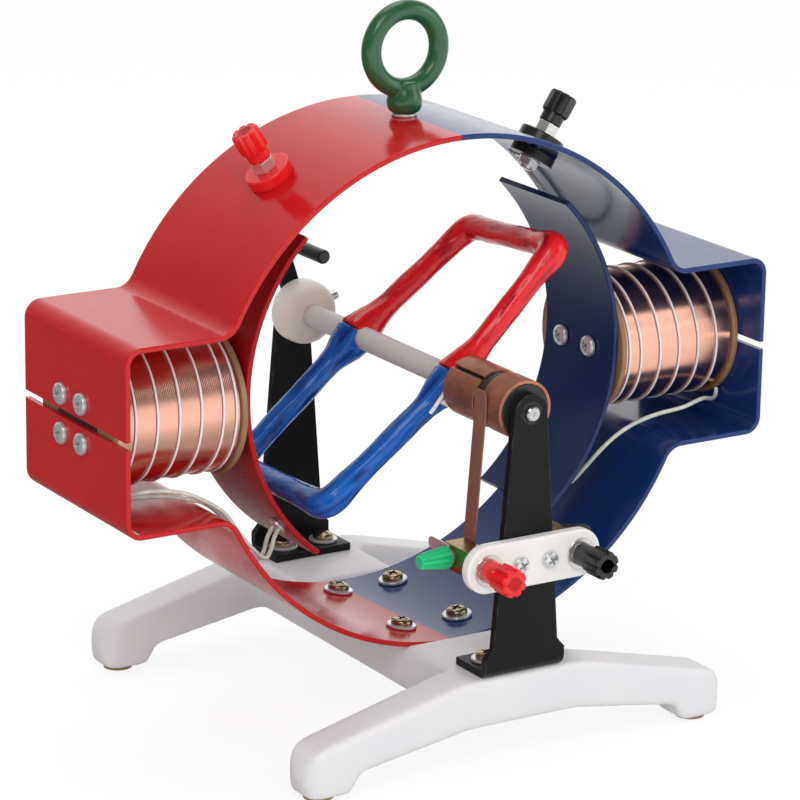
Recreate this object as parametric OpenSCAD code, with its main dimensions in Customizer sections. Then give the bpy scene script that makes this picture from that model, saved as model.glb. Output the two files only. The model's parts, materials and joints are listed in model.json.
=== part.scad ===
// Hand crank generator model: a bench demonstration dynamo with a painted iron
// magnet ring, two field coils, a single-loop armature and open brush gear.
// Millimetres. X runs across the ring, Y along the shaft away from the brush
// gear, Z up. The origin is on the floor under the middle of the base.

/* [Magnet ring] */
// Height from the ring's mid-plane to the outer face of its crown
ring_half_h = 105; // [95:1:118]
// How far each arc's centre lies beyond the mid-plane
arc_offset = 10; // [4:1:16]
// Width of the iron strip along the shaft
strip_w = 85; // [70:1:95]
// Thickness of the iron strip
strip_t = 2.2; // [1.6:0.1:3]
// Distance from the middle to the outer face of a coil box
box_half_w = 150; // [140:1:165]
// Distance from the mid-plane to the outer face of a coil box's top
box_half_h = 38; // [34:1:44]
// Outer radius of the bend at a coil box's corner
box_bend_r = 7; // [4:0.5:10]
// Outer radius of the bend where a coil box joins the arc
neck_bend_r = 8; // [4:0.5:12]
// Width of the slit between the upper and the lower strip
slit_w = 3.2; // [2:0.1:5]

/* [Base] */
// Height of the base's flat top above the floor
base_top_h = 37.5; // [32:0.5:44]
// Depth that the ring is let into the base's top
seat_sink = 3.5; // [2:0.5:5]
// Width of the middle bar
bar_w = 48; // [44:1:56]
// Thickness of the middle bar
bar_h = 20; // [16:0.5:24]
// Length of the base along the shaft
base_len = 185; // [178:1:205]
// Width of a leg along the shaft
leg_w = 19; // [16:0.5:24]
// Distance between the tips of a pair of legs
leg_span = 198; // [190:1:220]
// Length of the level stretch on top of a pair of legs
leg_level = 58; // [54:1:70]
// Radius of a leg's rounded tip
leg_tip_r = 12; // [9:0.5:15]
// Radius of a leg's tip seen from above
leg_plan_r = 7; // [3:0.5:8]
// Length of a foot under a leg's tip
foot_len = 19; // [16:0.5:24]
// Height of a foot below the leg's arch
foot_h = 7.5; // [5:0.5:9]
// Radius of a foot's rubber pad
pad_r = 6; // [4:0.5:8]
// Thickness of a foot's rubber pad
pad_t = 3; // [2:0.5:4]
// Depth that a pad is let into its foot
pad_sink = 1.5; // [0.5:0.5:2]

/* [Eye bolt] */
// Distance of the eye bolt from the middle of the crown
eye_x = -2; // [-6:0.5:6]
// Inner diameter of the eye
eye_hole_d = 23.2; // [18:0.2:27]
// Thickness of the eye's ring
eye_wire_d = 8.2; // [7:0.2:11]
// Radius of the collar under the eye
eye_collar_r = 7; // [6:0.5:9]
// Height of the collar under the eye
eye_collar_h = 9.8; // [7:0.2:12]
// Diameter of the eye bolt's shank
eye_shank_d = 8; // [6:1:10]
// Thickness of the washer under the collar
eye_washer_t = 1.2; // [0.8:0.1:2]
// Thickness of the nut inside the crown
eye_nut_h = 6; // [4:0.5:8]

/* [Field coils] */
// Distance of the coils' axis above the ring's mid-plane
core_rise = 0; // [0:0.5:4]
// Distance of the coils' axis from the middle along the shaft
core_y = 2; // [-4:0.5:4]
// Radius of the iron core
core_r = 16; // [15.5:0.5:17.5]
// Wall of the bobbin's tube
bobbin_wall = 1.5; // [1:0.1:2]
// Radius of the bobbin's flanges
flange_r = 30; // [29.9:0.1:32]
// Thickness of the bobbin's flanges
flange_t = 2.5; // [2:0.5:5]
// Outer radius of the copper winding
winding_r = 28.4; // [24:0.2:28.4]
// Number of turns drawn in the winding's outer layer
winding_loops = 24; // [12:1:24]
// Clear gap between neighbouring turns
turn_gap = 0.5; // [0.45:0.05:0.8]
// Number of turns of the binding thread
thread_loops = 5; // [3:1:6]
// Thickness of the binding thread
thread_d = 1; // [0.6:0.1:1]

/* [Pole shoes] */
// Inner radius of the pole shoes about the shaft
shoe_r = 86; // [80:0.5:88]
// Thickness of the pole shoes
shoe_t = 2.2; // [1.6:0.1:3]
// Width of the pole shoes along the shaft
shoe_w = 50; // [40:1:60]
// Angle from the shaft's level to a shoe's upper end
shoe_up_a = 45.5; // [35:0.5:52]
// Angle from the shaft's level to a shoe's lower end
shoe_down_a = 51; // [40:0.5:55]

/* [Shaft and brackets] */
// Height of the shaft above the ring's mid-plane
shaft_rise = 5; // [2:0.5:8]
// Diameter of the shaft
shaft_d = 6; // [5:0.5:7]
// Thickness of the brackets' sheet
bracket_t = 3.2; // [2:0.1:3.5]
// Distance of a bracket's outer face from the end of the base
bracket_inset = 0; // [0:0.5:3]
// Width of a bracket at its foot
bracket_foot_w = 37; // [32:1:42]
// Length of a bracket's foot along the shaft
bracket_foot_len = 21.5; // [20:0.5:25]
// Height of the wide part above a bracket's foot
bracket_shoulder_h = 12; // [8:0.5:18]
// Width of a bracket just above its shoulders
bracket_waist_w = 30; // [27:0.5:32]
// Radius of a bracket's rounded top
bracket_top_r = 7.5; // [7.2:0.1:10]
// Outer radius of the bend between a bracket and its foot
bracket_bend_r = 4.5; // [4:0.5:6]
// Outer radius of the bearing bushes
bush_r = 4.5; // [4.2:0.1:5]
// Radius of a bush's rim inside its bracket
bush_rim_r = 6; // [5.4:0.1:7]
// Thickness of a bush's rim
bush_rim_t = 0.8; // [0.5:0.1:1.2]
// Length that the shaft stands out past a bracket
shaft_end = 2; // [1:0.5:6]

/* [Armature] */
// Radius from the shaft to the middle of the red half's outer bar
red_loop_r = 68; // [55:0.5:74]
// Radius from the shaft to the middle of the blue half's outer bar
blue_loop_r = 73.5; // [55:0.5:75]
// Place of the loop's far leg along the shaft
loop_far_y = 38; // [34:0.5:48]
// Distance from the split ring to the middle of the loop's near leg
loop_near_gap = 10.8; // [10.2:0.1:20]
// Thickness of the taped bundle
bundle_d = 11; // [8:0.5:12]
// Angle of the loop's red half above level
loop_angle = 39; // [0:1:80]
// Hand-formed twist of the red half: lift of its near leg
red_twist = 6; // [-8:0.5:8]
// Hand-formed twist of the blue half: lift of its near leg
blue_twist = -2; // [-8:0.5:8]
// Radius of the taped knot where the loop crosses the shaft
knot_r = 8.2; // [7:0.1:10]
// Diameter of the insulating sleeve on the shaft
sleeve_d = 9.6; // [8:0.2:12]

/* [Commutator] */
// Radius of the copper rings
ring_r = 12; // [11:0.5:14]
// Thickness of the copper rings
ring_t = 1.5; // [1:0.1:2]
// Length of the outer slip ring
slip_ring_len = 13.5; // [9:0.5:15]
// Width of the groove between the two rings
ring_groove = 5.5; // [3:0.5:8]
// Length of the inner split ring
split_ring_len = 21.5; // [14:0.5:23]
// Width of the slots in the split ring
ring_slot = 1.6; // [1:0.1:3]
// Gap between the commutator and the bush in its bracket
end_play = 0.4; // [0.2:0.1:1]

/* [Crank] */
// Radius of the hub's large step
hub_r = 13.6; // [12:0.2:18]
// Length of the hub's large step
hub_len = 7.5; // [5:0.5:10]
// Radius of the hub's small step
hub_nose_r = 9.4; // [8:0.2:12]
// Length of the hub's small step
hub_nose_len = 4.5; // [3:0.5:8]
// Thickness of the crank arm
arm_t = 3; // [2:0.5:4]
// Width of the crank arm
arm_w = 8; // [8:0.5:14]
// Throw of the crank from the shaft to the handle
crank_throw = 34; // [28:0.5:40]
// Lean of the crank arm from upright, towards the red pole
crank_lean = 18; // [0:1:30]
// Diameter of the handle's grip
grip_d = 6; // [5.5:0.5:10]
// Length of the handle's grip
grip_len = 38.5; // [24:0.5:40]
// Diameter of the pin inside the grip
grip_pin_d = 3; // [2.5:0.5:3.5]

/* [Terminal board and brush gear] */
// Height of the board's middle below the ring's mid-plane
board_drop = 54; // [48:0.1:58]
// Length of the board
board_len = 62; // [60:1:76]
// Height of the board
board_h = 19.6; // [18:0.1:24]
// Thickness of the board
board_t = 5; // [3:0.5:6]
// Distance of the front posts from the middle
post_x = 21.5; // [21:0.5:24]
// Distance of the board's screws from the middle
board_screw_x = 6.8; // [5:0.1:8]
// Width of a brush block
block_w = 9; // [8:0.5:9]
// Height of a brush block
block_h = 10.5; // [9:0.5:14]
// Length of a brush block along the shaft
block_len = 20; // [18:0.5:22]
// Width of a brush strip
brush_w = 8; // [5:0.5:9]
// Thickness of a brush strip
brush_t = 0.6; // [0.4:0.1:1]
// Distance of the clamp screws behind the brackets' inner face
clamp_back = 13.5; // [9.5:0.5:14]
// Diameter of the clamp screws
clamp_d = 3; // [2.5:0.5:3.5]
// Radius of a clamp knob at its wide end
knob_r = 4.5; // [4:0.1:6]
// Length of a clamp knob
knob_len = 13.5; // [12:0.5:20]
// Width of a brush's solder lug
lug_w = 5; // [4:0.5:6]
// Height of a solder lug's tail above its block
lug_rise = 2.5; // [0:0.5:4]
// Length of a solder lug's tail
lug_tail = 12; // [8:0.5:14]
// Swing of a brush from the outer to the inner ring
brush_swing = 21; // [15:0.5:24]

/* [Binding posts] */
// Angle of the top posts from the crown
top_post_a = 33; // [26:0.5:38]
// Radius of the 4 mm plug socket in a post
socket_r = 2; // [1.8:0.05:2.2]
// Depth of the plug socket in the stud
socket_depth = 9; // [7:0.5:12]
// Outer diameter of a post's stud
stud_d = 5.4; // [5:0.1:6]
// Radius of a cap's ribbed head
cap_r = 5.8; // [5:0.1:7]
// Radius of a cap's neck
cap_neck_r = 4.7; // [4:0.1:5]
// Length of a cap's ribbed head
cap_head_len = 9.5; // [7:0.5:12]
// Length of a cap's neck
cap_neck_len = 4; // [4:0.5:8]
// Length of a front cap's ribbed head
front_head_len = 10.5; // [8:0.5:13]
// Length of a front cap's neck
front_neck_len = 6.8; // [5:0.1:9]
// Thickness of the end wall of a cap
cap_wall = 1.6; // [1:0.1:2.5]
// Number of ribs on a cap
cap_ribs = 8; // [6:1:12]
// Radius of the insulating discs of a top post
disc_r = 9.5; // [8:0.5:12]
// Thickness of the insulating discs of a top post
disc_t = 4.6; // [3:0.2:6]
// Radius of a post's nickel collar
collar_r = 5; // [4.8:0.1:7]
// Height of a post's nickel collar
collar_h = 5; // [3:0.5:6]
// Height of the flat collar on a front post
front_collar_h = 1.2; // [1:0.1:3]

/* [Fasteners] */
// Diameter of the screw threads
screw_d = 4; // [3:0.5:4]
// Radius of the screw heads
head_r = 4.4; // [3.6:0.1:4.6]
// Radius of the heads of the board's screws
board_head_r = 3.5; // [3:0.1:4.4]
// Height of the screw heads
head_h = 2.6; // [2:0.1:3.2]
// Length of a screw's thread in the piece that it holds
screw_grip = 8; // [6:0.5:10]
// Radius of the washers
washer_r = 6.2; // [5:0.1:6.5]
// Thickness of the washers
washer_t = 1.2; // [0.8:0.1:1.6]
// Spacing of the seat screws across the ring
seat_screw_x = 27; // [24:0.5:28]
// Spacing of the seat screws along the shaft
seat_screw_y = 50; // [40:1:56]
// Place of the seat screws' middle along the shaft
seat_screw_mid = 3; // [-6:0.5:6]
// Spacing of the box screws along the shaft
box_screw_y = 17; // [14:0.5:18]
// Spacing of the box screws above and below the slit
box_screw_z = 16; // [13:0.5:17]
// Spacing of the pole shoe screws along the shaft
shoe_screw_y = 20; // [16:0.5:22]
// Spacing of the bracket screws
bracket_screw_x = 20; // [16:0.5:22]

/* [Fits] */
// Radial clearance of a running fit
run_fit = 0.05; // [0.03:0.01:0.08]
// Clearance between fixed pieces that seat in one another
seat_fit = 0.05; // [0.02:0.01:0.1]
// Clearance between pieces that pass each other
pass_gap = 0.3; // [0.2:0.05:0.5]
// Radial clearance of a screw's hole
hole_fit = 0.2; // [0.1:0.05:0.4]

/* [Hidden] */
$fn = 64;

// Shift along the shaft that centres the model between its front caps and its far end
bracket_out_y = base_len / 2 - bracket_inset;
front_reach = bracket_out_y + board_t + front_collar_h + seat_fit + front_neck_len + front_head_len;
rear_reach = max(base_len / 2, bracket_out_y + shaft_end);
frame_y = (front_reach - rear_reach) / 2;

// Heights of the ring's mid-plane and of the shaft
mid_z = base_top_h - seat_sink + ring_half_h;
shaft_z = mid_z + shaft_rise;
core_z = mid_z + core_rise;
board_z = mid_z - board_drop;

// The ring's arcs and the bends beside them
arc_r = ring_half_h + arc_offset;
neck_z = box_half_h + neck_bend_r;
neck_x = sqrt(pow(arc_r + neck_bend_r, 2) - pow(neck_z + arc_offset, 2));
neck_a = atan2(neck_z + arc_offset, neck_x);
box_in_x = box_half_w - strip_t;

// Ends of the bobbins: the shoe's back and the inside of the coil box
shoe_back_r = shoe_r + shoe_t;
bobbin_x0 = shoe_back_r + pass_gap;
bobbin_x1 = box_in_x - seat_fit;
winding_x0 = bobbin_x0 + flange_t;
winding_x1 = bobbin_x1 - flange_t;
tube_r = core_r + seat_fit + bobbin_wall;

// The copper winding's outer layer: a helix about the X axis
turn_rings = 16;
turn_sides = 4;
turn_pitch = (winding_x1 - winding_x0) / (winding_loops + 2);
wire_r = (turn_pitch - turn_gap) / 2;
turn_r = winding_r - wire_r;
inner_turns_r = turn_r * cos(180 / turn_rings) - wire_r - seat_fit;

// The binding thread: a wide helix over the copper
thread_rings = 20;
thread_sides = 6;
thread_pitch = (winding_x1 - winding_x0 - 4 * thread_d) / thread_loops;
thread_r = (winding_r + seat_fit + thread_d / 2) / cos(180 / thread_rings);

// Brackets: inner face and foot screws along Y, measured from the middle
bracket_in_y = bracket_out_y - bracket_t;
bracket_screw_y = bracket_out_y - bracket_foot_len * 0.585;

// The rotor's stations along the shaft
drum_near_y = -(bracket_in_y - bush_rim_t - end_play);
slip_far_y = drum_near_y + slip_ring_len;
split_near_y = slip_far_y + ring_groove;
split_far_y = split_near_y + split_ring_len;
loop_near_y = split_far_y + loop_near_gap;
arm_far_y = bracket_in_y - bush_rim_t - end_play;
arm_near_y = arm_far_y - arm_t;
hub_near_y = arm_near_y - hub_len;
nose_near_y = hub_near_y - hub_nose_len;
drum_r = ring_r - ring_t;

// Brush gear: clamp axis and the strip's run up to the rings
clamp_y = -(bracket_in_y - clamp_back);
block_x0 = post_x - block_w / 2 - 0.5;
block_x1 = block_x0 + block_w;
brush_foot = 6;
brush_lean_start = 9;
brush_lean_end = shaft_z - board_z - 2;
brush_top = shaft_z - board_z + 7;
brush_x_top = ring_r + pass_gap;
brush_x_foot = block_x0 - seat_fit - brush_t;
lug_t = 0.8;

// Binding posts: lengths along the post's own axis
cap_start = collar_h + seat_fit;
front_cap_start = front_collar_h + seat_fit;
tag_t = 0.6;
tag_reach = 11;
nut_r = 4.6;
nut_h = 2.6;

// Thickness of the inner disc, and its seat below the curved strip's outer face
inner_disc_t = disc_t * 0.9;
disc_in = arc_r - sqrt(pow(arc_r - strip_t, 2) - disc_r * disc_r) + seat_fit;
under_discs = disc_in + inner_disc_t + tag_t + nut_h;
tag_mid_r = arc_r - under_discs + nut_h + tag_t / 2;

// Where a field lead meets a coil's flange, and the angle of the shoes' solder tags
rim_r = flange_r + 0.35;
rim_in_x = bobbin_x0 + flange_t / 2;
rim_out_x = bobbin_x1 - flange_t / 2;
tag_a = 40;
tag_end_r = shoe_back_r + 1.48;

// A point beside a coil at an angle about its core
function rim_point(x, a, r) = [x, core_y + r * cos(a), core_rise + r * sin(a)];

// A point under the crown, an inset from the strip, at an angle from upright
function crown_point(inset, a, y) = let (r = arc_r - strip_t - inset)
  [r * sin(a), y, r * cos(a) - arc_offset];

// A point between a shoe's back and the lower strip, at a share of that room and an angle below level
function room_point(share, a, y) = let (
  drop = arc_offset - shaft_rise,
  far = sqrt(pow(arc_r - strip_t, 2) - pow(drop * cos(a), 2)) - drop * sin(a),
  r = shoe_back_r + share * (far - shoe_back_r)
) [r * cos(a), y, shaft_rise - r * sin(a)];

// The end of a lead on a shoe's solder tag
function tag_point(y) = [tag_end_r * cos(tag_a), y, shaft_rise - tag_end_r * sin(tag_a)];

function mirrored(route) = [for (p = route) [-p[0], p[1], p[2]]];

// Routes of the field leads, relative to the ring's mid-plane
lead_d = 1.8;
lead_sides = 8;
upper_right_route = [
  [tag_mid_r * sin(top_post_a), tag_reach + 0.2, tag_mid_r * cos(top_post_a) - arc_offset],
  crown_point(4.2, top_post_a + 0.5, 16), crown_point(3.2, top_post_a + 2.7, 23),
  crown_point(2.1, top_post_a + 6.9, 28), crown_point(2.1, top_post_a + 12.5, 31),
  crown_point(2.4, 52, 31), crown_point(2.7, 57.6, 30), crown_point(4.1, 62, 28),
  crown_point(8.1, 65.2, 25), rim_point(rim_in_x + 1.5, 56.5, flange_r + 5.3),
  rim_point(rim_in_x, 55, rim_r)
];
upper_left_route = mirrored(upper_right_route);
lower_left_route = mirrored([
  rim_point(rim_out_x, 235, rim_r), rim_point(box_half_w - 5, 235, flange_r + 3.3),
  rim_point(box_half_w - 9, 231.6, flange_r + 5.2), [box_half_w - 17, -24, -25.5],
  [box_half_w - 26, -27, -25.5], [box_half_w - 37, -28, -29], room_point(0.907, 23, -28),
  room_point(0.832, 29.2, -27.5), room_point(0.769, 34.9, -26), room_point(0.691, 39.9, -24),
  room_point(0.486, 40.9, -21), room_point(0.257, 40.2, -18.5), tag_point(-17)
]);
lower_left_twin = mirrored([
  rim_point(rim_out_x, 245, rim_r), rim_point(box_half_w - 5, 245, flange_r + 3.2),
  rim_point(box_half_w - 9, 239, flange_r + 4.5), [box_half_w - 17, -20, -28.5],
  [box_half_w - 26, -23.5, -28.5], [box_half_w - 36, -24.5, -31], [box_half_w - 44, -24.5, -34],
  room_point(0.896, 25.15, -24), room_point(0.827, 31.15, -23.5), room_point(0.817, 36.5, -22),
  room_point(0.773, 40.2, -19.5), room_point(0.566, 41.6, -16), room_point(0.291, 40.7, -13.5),
  tag_point(-13)
]);
lower_right_route = [
  rim_point(rim_out_x, 235, rim_r), rim_point(box_half_w - 5, 235, flange_r + 3.3),
  rim_point(box_half_w - 9, 231.6, flange_r + 5.2), [box_half_w - 17, -24, -25.5],
  [box_half_w - 29, -26.5, -27], [box_half_w - 41, -26.5, -28], room_point(0.736, 19.5, -26),
  room_point(0.419, 23.55, -25.5), room_point(0.242, 28.8, -24), room_point(0.238, 35, -20),
  room_point(0.259, 39.8, -16.5), tag_point(-15)
];

// Vector helpers
function unit(v) = v / norm(v);
function clamp_index(i, n) = min(max(i, 0), n - 1);

// One point of a smooth curve through four neighbouring route points
function smooth_point(a, b, c, d, t) =
  0.5 * (2 * b + (c - a) * t + (2 * a - 5 * b + 4 * c - d) * t * t
    + (3 * b - a - 3 * c + d) * t * t * t);

// A route with two steps for each of its own stretches
function smooth_route(r) = let (n = len(r)) concat(
  [for (i = [0:n - 2], s = [0:1])
    smooth_point(r[clamp_index(i - 1, n)], r[i], r[i + 1], r[clamp_index(i + 2, n)], s / 2)],
  [r[n - 1]]);

// Direction of a path at one of its points
function path_tangent(p, i) = unit(p[clamp_index(i + 1, len(p))] - p[clamp_index(i - 1, len(p))]);

// Points of a tube's rings along a path; aside gives each ring's first direction
function tube_points(p, aside, r, sides) = [
  for (i = [0:len(p) - 1], s = [0:sides - 1])
    let (t = path_tangent(p, i), v = unit(cross(t, aside[i])), u = cross(v, t), a = 360 * s / sides)
      p[i] + r * (cos(a) * u + sin(a) * v)];

// Triangles of a tube with closed ends
function tube_faces(rings, sides) = concat(
  [for (i = [0:rings - 2], s = [0:sides - 1], k = [0:1])
    let (a = i * sides + s, b = i * sides + (s + 1) % sides)
      k == 0 ? [a, b, b + sides] : [a, b + sides, a + sides]],
  [for (s = [1:sides - 2]) [0, s + 1, s]],
  [for (s = [1:sides - 2]) let (e = (rings - 1) * sides) [e, e + s, e + s + 1]]);

// Path of a helix about the X axis, with a straight end into each flange
function helix_path(x0, x1, end, r, loops, rings) =
  let (n = loops * rings, pitch = (x1 - x0 - 2 * end) / loops) concat(
  [[x0, 0, r]],
  [for (i = [0:n]) let (a = 360 * i / rings) [x0 + end + pitch * i / rings, r * sin(a), r * cos(a)]],
  [[x1, 0, r]]);

// Outward direction at each point of a helix about the X axis
function helix_aside(p) = [for (q = p) unit([0, q[1], q[2]])];

// Least clear distance between a helix's neighbouring turns, measured on its points
function least_gap(p, rings, r) = min([
  for (i = [1:len(p) - 2 - rings], j = [i + rings - 2:min(i + rings + 2, len(p) - 1)])
    norm(p[i] - p[j]) - 2 * r]);

winding_path = helix_path(winding_x0 + seat_fit, winding_x1 - seat_fit,
  turn_pitch, turn_r, winding_loops, turn_rings);
thread_path = helix_path(winding_x0 + seat_fit, winding_x1 - seat_fit,
  2 * thread_d, thread_r, thread_loops, thread_rings);
echo(winding_least_gap = least_gap(winding_path, turn_rings, wire_r));
echo(thread_least_gap = least_gap(thread_path, thread_rings, thread_d / 2));

// A cylinder along Y between two stations
module rod_y(y0, y1, r) {
  translate([0, y1, 0]) rotate([90, 0, 0]) cylinder(h = y1 - y0, r = r);
}

// A tube along Y between two stations
module pipe_y(y0, y1, r, bore) {
  difference() {
    rod_y(y0, y1, r);
    rod_y(y0 - 1, y1 + 1, bore);
  }
}

// A cylinder along X between two stations
module rod_x(x0, x1, r) {
  translate([x0, 0, 0]) rotate([0, 90, 0]) cylinder(h = x1 - x0, r = r);
}

// A round bar between two points
module bar(p, q, r) {
  d = q - p;
  length = norm(d);
  translate(p) rotate([0, acos(d[2] / length), atan2(d[1], d[0])]) cylinder(h = length, r = r);
}

// Moves the whole model so that the origin is under its middle
module placed() {
  translate([0, frame_y, 0]) children();
}

// Places children at the shaft's height
module at_shaft() {
  translate([0, 0, shaft_z]) children();
}

// Places children on both sides, the red one on -X and the blue one on +X
module on_side(side) {
  mirror([side < 0 ? 1 : 0, 0, 0]) children();
}

// A tube swept along a route in the ring's frame
module lead(route) {
  p = smooth_route(route);
  translate([0, 0, mid_z])
    polyhedron(tube_points(p, [for (q = p) [0.02, 1, 0.01]], lead_d / 2, lead_sides),
      tube_faces(len(p), lead_sides));
}

// A cross-head screw: the head's underside at z = 0, shank down
module screw(length, r = head_r) {
  slot_w = r * 0.22;
  slot_len = r * 1.1;
  difference() {
    union() {
      cylinder(h = head_h * 0.55, r = r);
      translate([0, 0, head_h * 0.55]) cylinder(h = head_h * 0.45, r1 = r, r2 = r * 0.62);
      translate([0, 0, -length]) cylinder(h = length, r = screw_d / 2);
    }
    for (a = [0, 90])
      rotate([0, 0, a]) translate([-slot_len / 2, -slot_w / 2, head_h * 0.5])
        cube([slot_len, slot_w, head_h]);
  }
}

// A washer on z = 0
module washer(r, bore, t) {
  difference() {
    cylinder(h = t, r = r);
    translate([0, 0, -1]) cylinder(h = t + 2, r = bore);
  }
}

// A six-sided nut on z = 0
module hex_nut(across_r, bore, h) {
  difference() {
    cylinder(h = h, r = across_r, $fn = 6);
    translate([0, 0, -1]) cylinder(h = h + 2, r = bore);
  }
}

// One arc of the bent strip about a centre in the XZ plane
module strip_bend(cx, cz, outer_r, a0, a1, t = strip_t) {
  translate([cx, 0, cz]) rotate([90, 0, 0]) rotate([0, 0, a0]) rotate_extrude(angle = a1 - a0)
    translate([outer_r - t, -strip_w / 2]) square([t, strip_w]);
}

// The upper strip with its mid-plane on z = 0
module yoke_strip() {
  // The neck's bends swell by a hair, so that they run into the arc and the box
  swell = 0.02;
  overrun = 2;
  strip_bend(0, -arc_offset, arc_r, neck_a, 180 - neck_a);
  for (side = [-1, 1]) on_side(side) {
    strip_bend(neck_x, neck_z, neck_bend_r + strip_t + swell, 180 + neck_a - overrun, 270 + overrun,
      strip_t + 2 * swell);
    translate([neck_x, -strip_w / 2, box_half_h - strip_t])
      cube([box_half_w - box_bend_r - neck_x, strip_w, strip_t]);
    strip_bend(box_half_w - box_bend_r, box_half_h - box_bend_r, box_bend_r, 0, 90);
    translate([box_half_w - strip_t, -strip_w / 2, slit_w / 2])
      cube([strip_t, strip_w, box_half_h - box_bend_r - slit_w / 2]);
  }
}

// Places of the box screws on one strip
module at_box_screws(up) {
  for (side = [-1, 1], dy = [-1, 1])
    on_side(side) translate([box_half_w, core_y + dy * box_screw_y / 2, mid_z + up * box_screw_z / 2])
      rotate([0, 90, 0]) children();
}

// Places of the seat screws, square to the lower strip's inner face
module at_seat_screws(r) {
  a = asin(seat_screw_x / 2 / (arc_r - strip_t));
  for (dx = [-1, 1], dy = [-1, 1])
    translate([0, seat_screw_mid + dy * seat_screw_y / 2, mid_z + arc_offset]) rotate([0, -dx * a, 0])
      translate([0, 0, -r]) children();
}

// Place of a top post: +Z is the post's axis and z = 0 the strip's outer face
module at_top_post(side) {
  translate([0, 0, mid_z - arc_offset]) rotate([0, side * top_post_a, 0]) translate([0, 0, arc_r])
    children();
}

// Place of a front post: +Z is the post's axis and z = 0 the board's front face
module at_front_post(side) {
  translate([side * post_x, -bracket_out_y - board_t, board_z]) rotate([90, 0, 0]) children();
}

// Places of the bracket screws on both feet, on top of the sheet
module at_bracket_screws() {
  for (end = [-1, 1], dx = [-1, 1])
    translate([dx * bracket_screw_x / 2, end * bracket_screw_y, base_top_h + bracket_t]) children();
}

// Outline of a leg seen from above, with its tip's corners rounded
module leg_plan() {
  inner = leg_span / 2 - leg_plan_r;
  translate([0, base_len / 2 - leg_w, -leg_tip_r]) linear_extrude(base_top_h + 2 * leg_tip_r) {
    translate([-1, 0]) square([inner + 1, leg_w]);
    translate([inner - 1, leg_plan_r]) square([leg_plan_r + 1, leg_w - 2 * leg_plan_r]);
    for (y = [leg_plan_r, leg_w - leg_plan_r]) translate([inner, y]) circle(r = leg_plan_r);
  }
}

module base_casting() {
  leg_end = leg_span / 2;
  tip_x = leg_end - leg_tip_r;
  tip_z = pad_t - pad_sink + foot_h + 2;
  level = leg_level / 2;
  foot_z = pad_t - pad_sink;
  arch_z = base_top_h - bar_h;
  reach = norm([tip_x - level, tip_z - base_top_h]);
  fall = atan2(base_top_h - tip_z, tip_x - level) - asin(leg_tip_r / reach);
  run = sqrt(reach * reach - leg_tip_r * leg_tip_r);
  color("whitesmoke") placed() difference() {
    union() {
      translate([-bar_w / 2, -base_len / 2, arch_z]) cube([bar_w, base_len, bar_h]);
      for (end = [0, 1], side = [0, 1]) mirror([0, end, 0]) mirror([side, 0, 0])
        intersection() {
          translate([0, base_len / 2, 0]) rotate([90, 0, 0]) linear_extrude(leg_w) {
            polygon([
              [0, base_top_h], [level, base_top_h],
                [level + run * cos(fall), base_top_h - run * sin(fall)],
              [tip_x, tip_z], [leg_end, tip_z], [leg_end - 2, foot_z], [leg_end - foot_len, foot_z],
              [leg_end - foot_len - 3, foot_z + foot_h], [bar_w / 2, arch_z], [0, arch_z]
            ]);
            translate([tip_x, tip_z]) circle(r = leg_tip_r);
          }
          leg_plan();
        }
    }
    // Room below the rounded tips stays open under the arch
    for (end = [0, 1], side = [0, 1]) mirror([0, end, 0]) mirror([side, 0, 0])
      translate([leg_end - foot_len - 3 - leg_tip_r, base_len / 2 - leg_w - 1, -leg_tip_r])
        cube([leg_tip_r, leg_w + 2, leg_tip_r]);
    translate([-leg_span, -base_len, foot_z - 2 * leg_tip_r])
      cube([2 * leg_span, 2 * base_len, 2 * leg_tip_r]);
    // Saddle for the lower strip
    translate([0, 0, mid_z + arc_offset])
      rod_y(-strip_w / 2 - seat_fit, strip_w / 2 + seat_fit, arc_r + seat_fit);
    at_seat_screws(arc_r + screw_grip + 4)
      cylinder(h = screw_grip + 12, r = screw_d / 2 + seat_fit);
    at_bracket_screws() translate([0, 0, -screw_grip - 4 - bracket_t])
      cylinder(h = screw_grip + 12, r = screw_d / 2 + seat_fit);
    at_foot_pads() translate([0, 0, -1]) cylinder(h = pad_t + seat_fit + 1, r = pad_r + seat_fit);
  }
}

// Places of the pads under the four feet
module at_foot_pads() {
  for (sx = [-1, 1], sy = [-1, 1])
    translate([sx * (leg_span / 2 - 1 - foot_len / 2), sy * (base_len - leg_w) / 2, 0]) children();
}

module foot_pads() {
  color("tan") placed() at_foot_pads() cylinder(h = pad_t, r = pad_r);
}

module upper_yoke() {
  color("firebrick") placed() difference() {
    translate([0, 0, mid_z]) yoke_strip();
    translate([eye_x, 0, mid_z]) cylinder(h = ring_half_h + 1, r = eye_shank_d / 2 + hole_fit);
    for (side = [-1, 1]) at_top_post(side) translate([0, 0, -strip_t - 2])
      cylinder(h = strip_t + 4, r = stud_d / 2 + hole_fit);
    at_box_screws(1) translate([0, 0, -strip_t - 1]) cylinder(h = strip_t + 2,
      r = screw_d / 2 + hole_fit);
  }
}

module lower_yoke() {
  color("mediumblue") placed() difference() {
    translate([0, 0, mid_z]) mirror([0, 0, 1]) yoke_strip();
    at_seat_screws(arc_r + 1) cylinder(h = strip_t + 2, r = screw_d / 2 + hole_fit);
    at_box_screws(-1) translate([0, 0, -strip_t - 1]) cylinder(h = strip_t + 2,
      r = screw_d / 2 + hole_fit);
  }
}

// Radius at which a flat washer rests in the lower strip's hollow
seat_washer_r = sqrt(pow(arc_r - strip_t, 2) - washer_r * washer_r) - seat_fit;

module seat_washers() {
  color("silver") placed() at_seat_screws(seat_washer_r)
    washer(washer_r, screw_d / 2 + hole_fit, washer_t);
}

module seat_screws() {
  color("darkkhaki") placed() at_seat_screws(seat_washer_r - washer_t)
    screw(washer_t + strip_t + screw_grip);
}

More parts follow.
